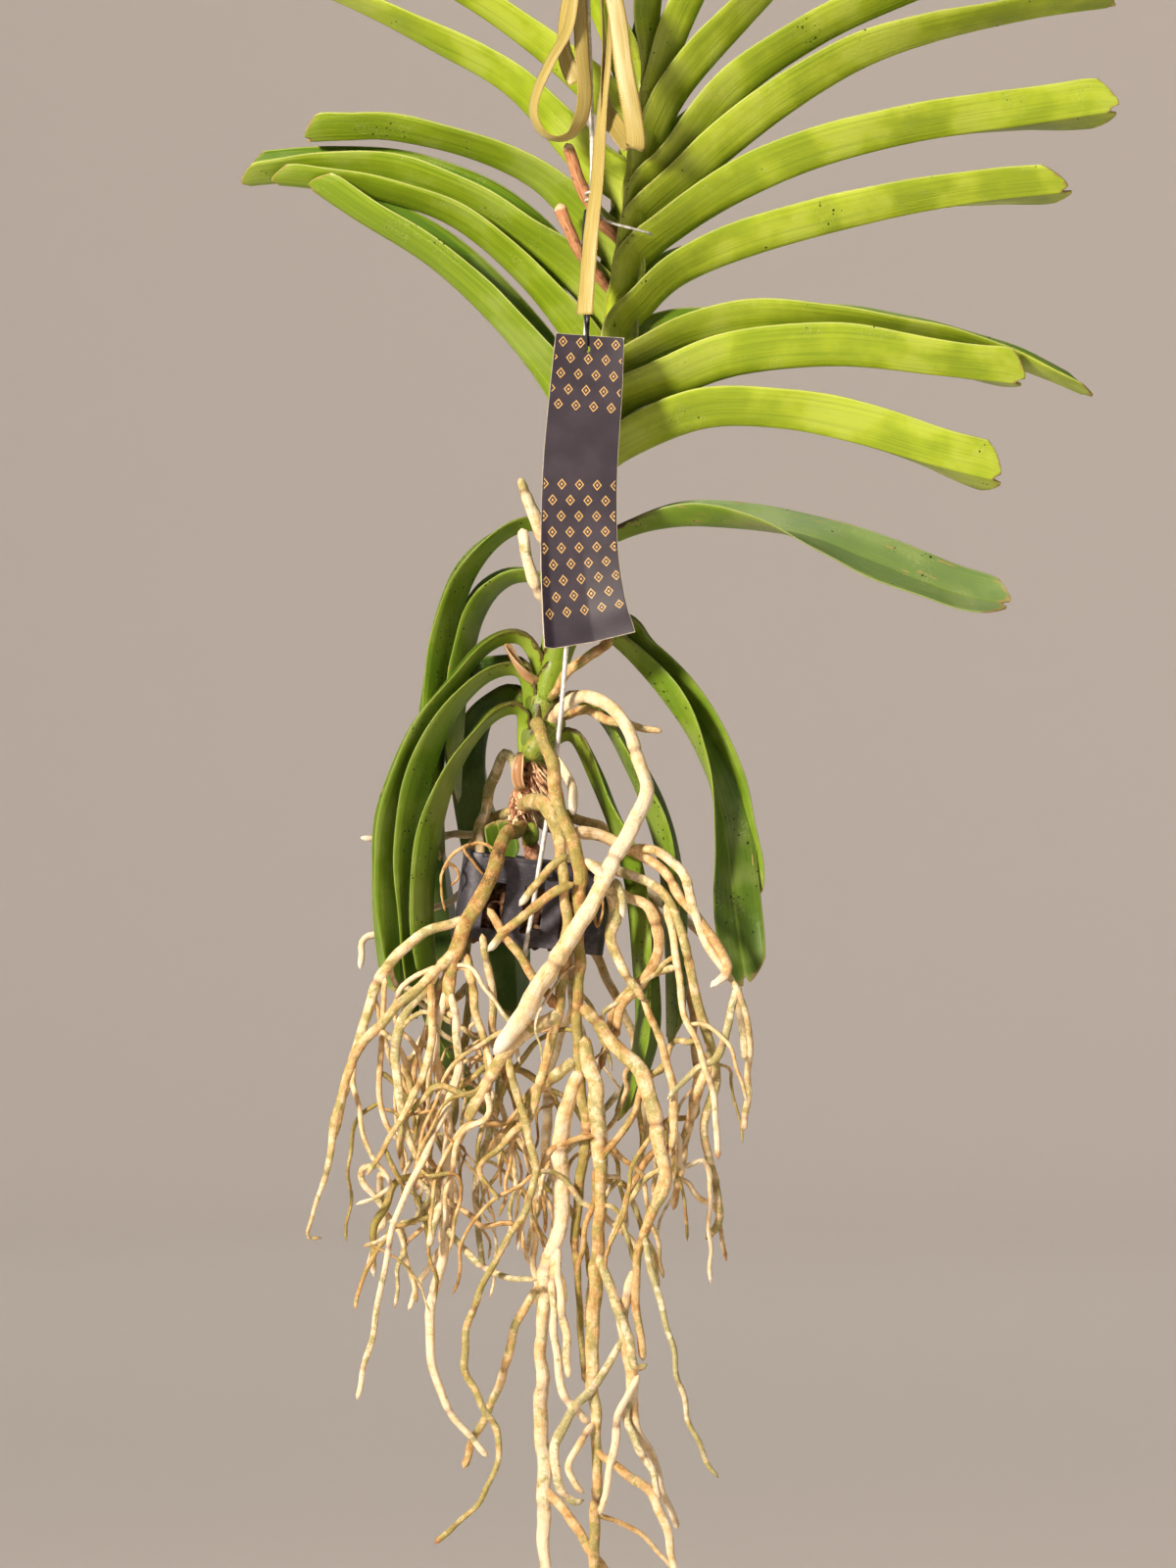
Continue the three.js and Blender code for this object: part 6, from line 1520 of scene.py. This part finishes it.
def band(line, widths, cup=0.6, seed=0, facing=False):
    """A thin band along a line. Its place is the line's, plus half the width times u across, plus
    a cup of u squared outwards. The two faces lie half the thickness to each side. Across is
    square to the line and, before the turn, level. A facing band keeps its face to the front."""
    line = np.array(line, float)
    places, forward, run, rows = line_through(line[:, :3], RIBBON_STEP)
    turns = np.radians(np.interp(rows, np.arange(len(line)), line[:, 3]))[:, None]
    level = unit(np.cross(np.broadcast_to([0.0, 1.0, 0.0], forward.shape), forward))
    if facing:
        level = unit(forward * forward[:, :1] - (1.0, 0.0, 0.0))
    across = level * np.cos(turns) + np.cross(forward, level) * np.sin(turns)
    out = np.cross(forward, across)
    half = spread(widths, rows / rows[-1])[:, None, None] / 2
    u = np.linspace(-1, 1, RIBBON_COLUMNS)[None, :, None]
    wave = 0.35 * ripple(u * 1.5, run[:, None, None] / 9, 71 + seed)
    middle = places[:, None] + half * u * across[:, None] + (cup * u**2 + wave * u) * out[:, None]
    back = middle[:, ::-1] + RIBBON_THICK / 2 * out[:, None]
    face = middle - RIBBON_THICK / 2 * out[:, None]
    ring = np.concatenate([face, back], axis=1)
    count, wide = ring.shape[:2]
    u_run = np.concatenate([u[0, :, 0], u[0, ::-1, 0], [-1]])
    around = u_run[None, :] * half[:, :, 0]
    along = np.repeat(run[:, None], wide + 1, axis=1)
    j = np.arange(RIBBON_COLUMNS - 1)
    ends = np.stack([j, j + 1, wide - 2 - j, wide - 1 - j], axis=1)
    quads = np.concatenate([grid_faces(count, wide), ends[:, ::-1], ends + (count - 1) * wide])
    corners = np.concatenate([grid_map(count, wide, around, along),
                              np.zeros((2 * len(ends), 4, 2))])
    edge = (1 - np.abs(u_run[:-1]))[None, :] * half[:, :, 0]
    return patch(ring.reshape(-1, 3), quads, corners, edge=edge.ravel()), run[-1]


def satin_material():
    """Polyester satin: fine floating threads give a sheen that runs along the ribbon, and a woven
    selvedge with small picots closes each edge. Pale patches drawn out along it are painted sheen."""
    material, add = blank("polyester satin, gold")
    edge = add("Attribute", out="Fac", attribute_name="edge")
    flat = add("UVMap", uv_map="surface")
    drawn = add("Mapping", {"Vector": flat, "Scale": (1, 1 / 40, 1)})
    threads, rubbed_and_sheen = [add("TexNoise", {"Vector": drawn, "Scale": 1 / (size * MM), "Detail": 1})
                       for size in (0.4, 2.5)]
    weft = add("TexWave", {"Vector": flat, "Scale": 0.24 / MM, "Distortion": 0.3}, out="Fac",
               bands_direction="Y")
    selvedge, pale, wear_and_sheen = [
        add("MapRange", {"Value": pattern, "From Min": start, "From Max": full}, **SOFT)
        for pattern, start, full in ((edge, 1.0, 0.6), (threads, 0.4, 0.66), (rubbed_and_sheen, 0.5, 0.66))]
    picots = add("Math", {0: selvedge, 1: weft}, **TIMES)
    # Painted sheen: the pale patches drawn out along the ribbon stand for light caught on the
    # satin.
    colour = painted(add, "#ad984a", [(pale, 0.35, "#d3c687"), (wear_and_sheen, 0.3, "#ddd0a0"),
                                      (selvedge, 0.3, "#a58536"), (picots, 0.35, "#6b5420")])
    surfaced(add, colour, 0.40, [(weft, 0.03), (threads, 0.05), (picots, 0.1)],
             {"Sheen Weight": 0.3, "Sheen Roughness": 0.4, "Anisotropic": 0.5})
    return material


satin = satin_material()
bands = [band(line, widths, seed=number, facing=number == 1)
         for number, (widths, line) in enumerate(RIBBON_BANDS)]
ribbon = piece("satin_bow", [surface for surface, _ in bands], satin,
               ["ribbon_bow"])
# The knot: the ribbon taken twice round its own crossing, each time at a height and a tilt.
wraps = []
a = np.linspace(0, 1.85 * np.pi, 11)
for lift, tilt in ((1.6, 0.75), (-1.4, -0.9)):
    ring = np.stack([WRAP[0] * np.cos(a), WRAP[1] * np.sin(a), lift + tilt * np.cos(a)], axis=1)
    wraps.append(band(np.column_stack([ring + KNOT, 0 * a]), [6, 7, 7, 6], 0.5, seed=9)[0])
core = marked(rounded_block(KNOT, KNOT_SIZE, 0.8, 12), edge=3.0)
knot = piece("satin_knot", [core, *wraps], satin, ["ribbon_bow"])

# %% [markdown]
# ## Card tag and its cord
#
# The tag is stiff printed card, hung by a black cord through a punched hole. It has been handled,
# so it carries two soft creases and curls forward at its foot. Its print is a plain brick layout
# of small open lozenges and dots in gold, with a clear band in the middle. The hole is left out
# of the grid on the middle line.

# %% Tag
TAG_LINE = [(1, -9, -372), (-1, -9, -400), (-4, -8.5, -440), (-4.5, -9, -480), (-2, -12, -510),
            (1, -19, -528)]
TAG_WIDTHS = [35, 37, 38, 39.5, 43, 47]
TAG_THICK = 0.7
TAG_STEP = 1.1
TAG_COLUMNS = 44
CREASE = 2.2                 # how far the creases lift the foot of the card
CURL = 1.0                   # and how far its top corners curl back
TAG_HOLE = np.array([-0.6, -9, -379.0])
HOLE_RADIUS = 1.8
PITCH_ACROSS = 9.0           # of the printed motifs
PITCH_ALONG = 8.0
CLEAR_BAND = (38.4, 72.0)    # from the top, the band in the middle that has no print
CLEAR_FOOT = 144.0


def card_material():
    """Coated card with a dark soft-touch film and flat gold ink. The ink is a little smoother and
    stands proud by a hair. The cut edge shows the cream board."""
    material, add = blank("laminated card, dark with gold ink")
    edge = add("Attribute", out="Fac", attribute_name="edge")
    place = add("TexCoord", out="Object")
    across = add("SeparateXYZ", {"Vector": add("UVMap", uv_map="surface")})
    along = across.node.outputs["Y"]
    # Brick layout: every second row is moved on by half a motif.
    row = add("Math", {0: along, 1: 1 / (PITCH_ALONG * MM)}, **TIMES)
    odd = add("Math", {0: add("Math", {0: row}, operation="FLOOR"), 1: 2.0},
              operation="FLOORED_MODULO")
    column = add("Math", {0: across, 1: 1 / (PITCH_ACROSS * MM), 2: 20.0}, **PLUS)
    column = add("Math", {0: odd, 1: 0.5, 2: column}, **PLUS)
    offsets = []
    for part in (column, row):
        inside = add("Math", {0: part}, operation="FRACT")
        centred = add("Math", {0: inside, 1: 0.5}, operation="SUBTRACT")
        offsets.append(add("Math", {0: centred}, operation="ABSOLUTE"))
    # A lozenge is where the two distances from its middle add up to a set sum.
    reach = add("Math", {0: offsets[0], 1: 1.35, 2: offsets[1]}, **PLUS)
    from_line = add("Math", {0: reach, 1: 0.30}, operation="SUBTRACT")
    from_line = add("Math", {0: from_line}, operation="ABSOLUTE")
    lozenge = add("MapRange", {"Value": from_line, "From Min": 0.062, "From Max": 0.042})
    dot = add("MapRange", {"Value": reach, "From Min": 0.11, "From Max": 0.09})
    ink = add("Math", {0: lozenge, 1: dot}, operation="MAXIMUM")
    # The print stops at the clear band, above the foot and a millimetre inside the edge.
    upper, lower, foot, inside = [
        add("Math", {0: value, 1: limit}, operation=side) for value, limit, side in (
            (along, CLEAR_BAND[0] * MM, "LESS_THAN"), (along, CLEAR_BAND[1] * MM, "GREATER_THAN"),
            (along, CLEAR_FOOT * MM, "LESS_THAN"), (edge, 1.0, "GREATER_THAN"))]
    lower = add("Math", {0: lower, 1: foot}, **TIMES)
    printed = add("Math", {0: lower, 1: upper}, operation="ADD")
    for part in (printed, inside):
        ink = add("Math", {0: ink, 1: part}, **TIMES)
    film = add("TexNoise", {"Vector": place, "Scale": 1 / (14 * MM), "Detail": 3})
    grain = add("TexNoise", {"Vector": place, "Scale": 1 / (0.6 * MM)})
    greyed = add("MapRange", {"Value": film, "From Min": 0.35, "From Max": 0.7}, **SOFT)
    cut = add("MapRange", {"Value": edge, "From Min": 0.22, "From Max": 0.12})
    colour = painted(add, "#2f2731", [(greyed, 1.0, "#3b323d"), (ink, 1.0, "#cfa868"),
                                      (cut, 0.9, "#d8cbb4")])
    rough = add("Mix", {"Factor": ink, "A": 0.5, "B": 0.38})
    surfaced(add, colour, rough, [(ink, 0.04), (grain, 0.03)], {"Specular IOR Level": 0.35})
    return material


def tag_patch():
    """The line's place plus half the width times u across, with two creases that lift the card
    between them towards the front. Three by three cells are left out at the hole, and the points
    round them are drawn to its circle."""
    places, forward, run, rows = line_through(TAG_LINE, TAG_STEP)
    columns = TAG_COLUMNS
    across = unit(np.cross(forward, np.broadcast_to([0.0, 1.0, 0.0], forward.shape)))
    out = np.cross(across, forward)
    half = spread(TAG_WIDTHS, rows / rows[-1])[:, None] / 2
    u = np.linspace(-1, 1, columns)[None, :]
    low = smooth(0.45, 1, run / run[-1])[:, None]
    crease = CREASE * low * np.interp(u[0], [-1, -0.8, 0.1, 1], [-1.0, 0.6, 0.75, -1.0])[None, :]
    curl = CURL * np.abs(u) ** 3 * smooth(0.4, 0, run / run[-1])[:, None]
    middle = places[:, None] + (half * u)[..., None] * across[:, None]
    middle = middle + (crease - curl)[..., None] * out[:, None]
    quads = grid_faces(len(run), columns, around=False)
    corners = grid_map(len(run), columns, half * u, np.repeat(run[:, None], columns, axis=1),
                       around=False)
    edge = np.minimum((1 - np.abs(u)) * half, np.minimum(run, run[-1] - run)[:, None]).ravel()
    flat = middle.reshape(-1, 3)
    away = flat[:, (0, 2)] - TAG_HOLE[[0, 2]]
    centres = flat[quads].mean(axis=1)[:, (0, 2)] - TAG_HOLE[[0, 2]]
    heart = np.argmin(np.hypot(*centres.T))
    row, column = divmod(quads[heart][0], columns)
    taken = ((np.abs(quads[:, 0] // columns - row) <= 1)
             & (np.abs(quads[:, 0] % columns - column) <= 1))
    kept = quads[~taken]
    ring = np.intersect1d(quads[taken], kept)
    distance = np.hypot(*away[ring].T)[:, None]
    flat[np.ix_(ring, [0, 2])] = TAG_HOLE[[0, 2]] + away[ring] / distance * HOLE_RADIUS
    used, kept_again = np.unique(kept, return_inverse=True)
    return patch(flat[used], kept_again.reshape(kept.shape), corners[~taken], edge=edge[used])


tag = piece("card_tag", [tag_patch()], card_material(), ["tag"])
finished(tag, TAG_THICK, 0.12)
print("tag faces before its thickness:", faces_in(tag))

# %% [markdown]
# The cord is two plies twisted together, so its section is a rounded figure of eight that turns
# along its length. It goes up behind the bow, round the rod, and back through the hole.

# %% Tag cord
STRING_LINE = [
    (-0.6, -10.6, -380), (-0.8, -10.4, -371), (-1.2, -6.6, -365), (-2.4, -4.0, -352),
    (-2.6, -2.8, -325), (-1.6, -2.4, -310), (-1, 1.2, -307.4), (1.9, 2.8, -306.8),
    (4.8, 1.6, -307.4), (4.8, -2, -309), (3.2, -3, -325), (1, -3.4, -345), (0.2, -4.6, -365),
    (-0.6, -6.6, -377.4)]
STRING_RADIUS = 0.7
TWIST = 2.6                  # millimetres for one turn of the plies


def plied(turn, run):
    """Two plies: the radius swells twice round the cord, and the swelling turns as it goes on."""
    return 0.86 + 0.14 * np.abs(np.cos(turn - np.pi * run / TWIST))


def cord_material():
    """Waxed cotton cord, black, with a faint grey bloom on the fibres."""
    material, add = blank("waxed cotton cord, black")
    flat = add("UVMap", uv_map="surface")
    drawn = add("Mapping", {"Vector": flat, "Scale": (1, 1 / 10, 1)})
    fibres = add("TexNoise", {"Vector": drawn, "Scale": 1 / (0.2 * MM), "Detail": 3})
    bloom = add("MapRange", {"Value": fibres, "From Min": 0.5, "From Max": 0.75}, **SOFT)
    surfaced(add, painted(add, "#17151a", [(bloom, 1.0, "#4a464c")]), 0.7, [(fibres, 0.1)])
    return material


cord = piece("tag_cord", [tube(STRING_LINE, [STRING_RADIUS], 12, 0.5, 0.8, plied)], cord_material(),
             ["tag_string"])
print("cord faces:", faces_in(cord))

# %% [markdown]
# ## Studio
#
# The plant hangs in the middle of a round pale cove, a floor that curves up into a wall on all
# sides, so it can be seen from anywhere without a corner or a horizon. A small lamp in front on
# the left, above the leaves, is the key, a weak broad one on the right fills the shadows, and one
# from above and behind picks out edges. A ring of lamps that face away washes the wall.

# %% Cove
FLOOR = -1.22                # the plant hangs clear of the floor
COVE = 6.5                   # the wall's distance from the plant
COVE_BEND = 2.0
COVE_TOP = 3.0
COVE_SIDES = 96


def cove_mesh():
    """A profile of floor, quarter circle and wall, turned about the upright through the hook. The
    floor's middle is closed with a fan of triangles."""
    a = np.linspace(0, np.pi / 2, COVE_SIDES // 4)
    radius = np.concatenate([[0.5, 2.0], COVE - COVE_BEND * (1 - np.sin(a)), [COVE]]) / MM
    height = np.concatenate([[FLOOR, FLOOR], FLOOR + COVE_BEND * (1 - np.cos(a)), [COVE_TOP]]) / MM
    turn = np.linspace(0, 2 * np.pi, COVE_SIDES, endpoint=False)
    grid = np.stack([radius[:, None] * np.cos(turn), radius[:, None] * np.sin(turn),
                     np.repeat(height[:, None], COVE_SIDES, axis=1)], axis=-1).reshape(-1, 3)
    grid = np.concatenate([grid, [(0, 0, FLOOR / MM)]])
    first = np.arange(COVE_SIDES)
    fan = np.stack([np.full(COVE_SIDES, len(grid) - 1), first, (first + 1) % COVE_SIDES], axis=1)
    return mesh_of("cove", [patch(grid, grid_faces(len(radius), COVE_SIDES, flip=True),
                                  triangles=fan)])


def paper_material():
    """Matt white paint, pale and warm, with the faintest tooth."""
    material, add = blank("cove paint, pale and matt")
    place = add("TexCoord", out="Object")
    tooth = add("TexNoise", {"Vector": place, "Scale": 1 / (2 * MM)})
    surfaced(add, "#e4dcd5", 0.95, [(tooth, 0.05)], {"Specular IOR Level": 0.1})
    return material


cove = bpy.data.objects.new("cove", cove_mesh())
cove.data.materials.append(paper_material())
bpy.context.scene.collection.objects.link(cove)
cove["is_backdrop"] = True
print("cove faces:", faces_in(cove))

# %% Lights
LIGHTS = {                   # place, size, power, colour and aim
    "key": ((-1.5, -2.1, 0.35), 0.4, 34, "#fff3e2", (0, 0, -0.55)),
    "fill": ((2.0, -1.9, 0.3), 1.2, 2.5, "#f2f4ff", (0, 0, -0.6)),
    "top": ((0.3, 0.6, 1.2), 0.9, 5, "#ffffff", (0, 0, -0.4)),
}
KEY_SPREAD = np.radians(100)             # a grid before the lamp keeps it off the floor below
WASHES = 8
WASH_AWAY, WASH_UP = 3.4, 2.4            # where the washing lamps stand round the plant
WALL_SPOT = -1.5                         # and the height of the wall that each one faces
for number in range(WASHES):
    c, s = np.cos(2 * np.pi * number / WASHES), np.sin(2 * np.pi * number / WASHES)
    LIGHTS[f"wash_{number + 1}"] = ((WASH_AWAY * c, WASH_AWAY * s, WASH_UP), 2.2, 31, "#fffaf6",
                                    (COVE * c, COVE * s, WALL_SPOT))
for name, (place, size, power, colour, aim) in LIGHTS.items():
    light = bpy.data.lights.new(name, "AREA")
    light.shape = "DISK"
    light.size = size
    light.energy = power
    light.color = linear(colour)[:3]
    light.spread = KEY_SPREAD if name == "key" else np.pi
    lamp = bpy.data.objects.new(name, light)
    lamp.location = place
    lamp.visible_camera = False
    away = np.array(place) - np.array(aim)
    lamp.rotation_euler = (np.arctan2(np.hypot(away[0], away[1]), away[2]), 0,
                           np.arctan2(away[0], -away[1]))
    bpy.context.scene.collection.objects.link(lamp)

world = bpy.data.worlds.new("soft room")
world.use_nodes = True
sky = world.node_tree.nodes["Background"].inputs
sky["Color"].default_value = linear("#e9e6e2")
sky["Strength"].default_value = 0.04
bpy.context.scene.world = world
bpy.context.scene.view_settings.view_transform = "Standard"
print("lights:", len(LIGHTS))

# %% [markdown]
# ## Size
#
# The looks must not change the size of the plant, so the script prints how far the box of
# everything made around the solids lies from that of the solids as they came.

shown_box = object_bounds()
for axis, label in enumerate("xyz"):
    low, high = shown_box[0][axis] - cad_box[0][axis], shown_box[1][axis] - cad_box[1][axis]
    print(label, "differs in mm by", round(low / MM, 1), round(high / MM, 1))
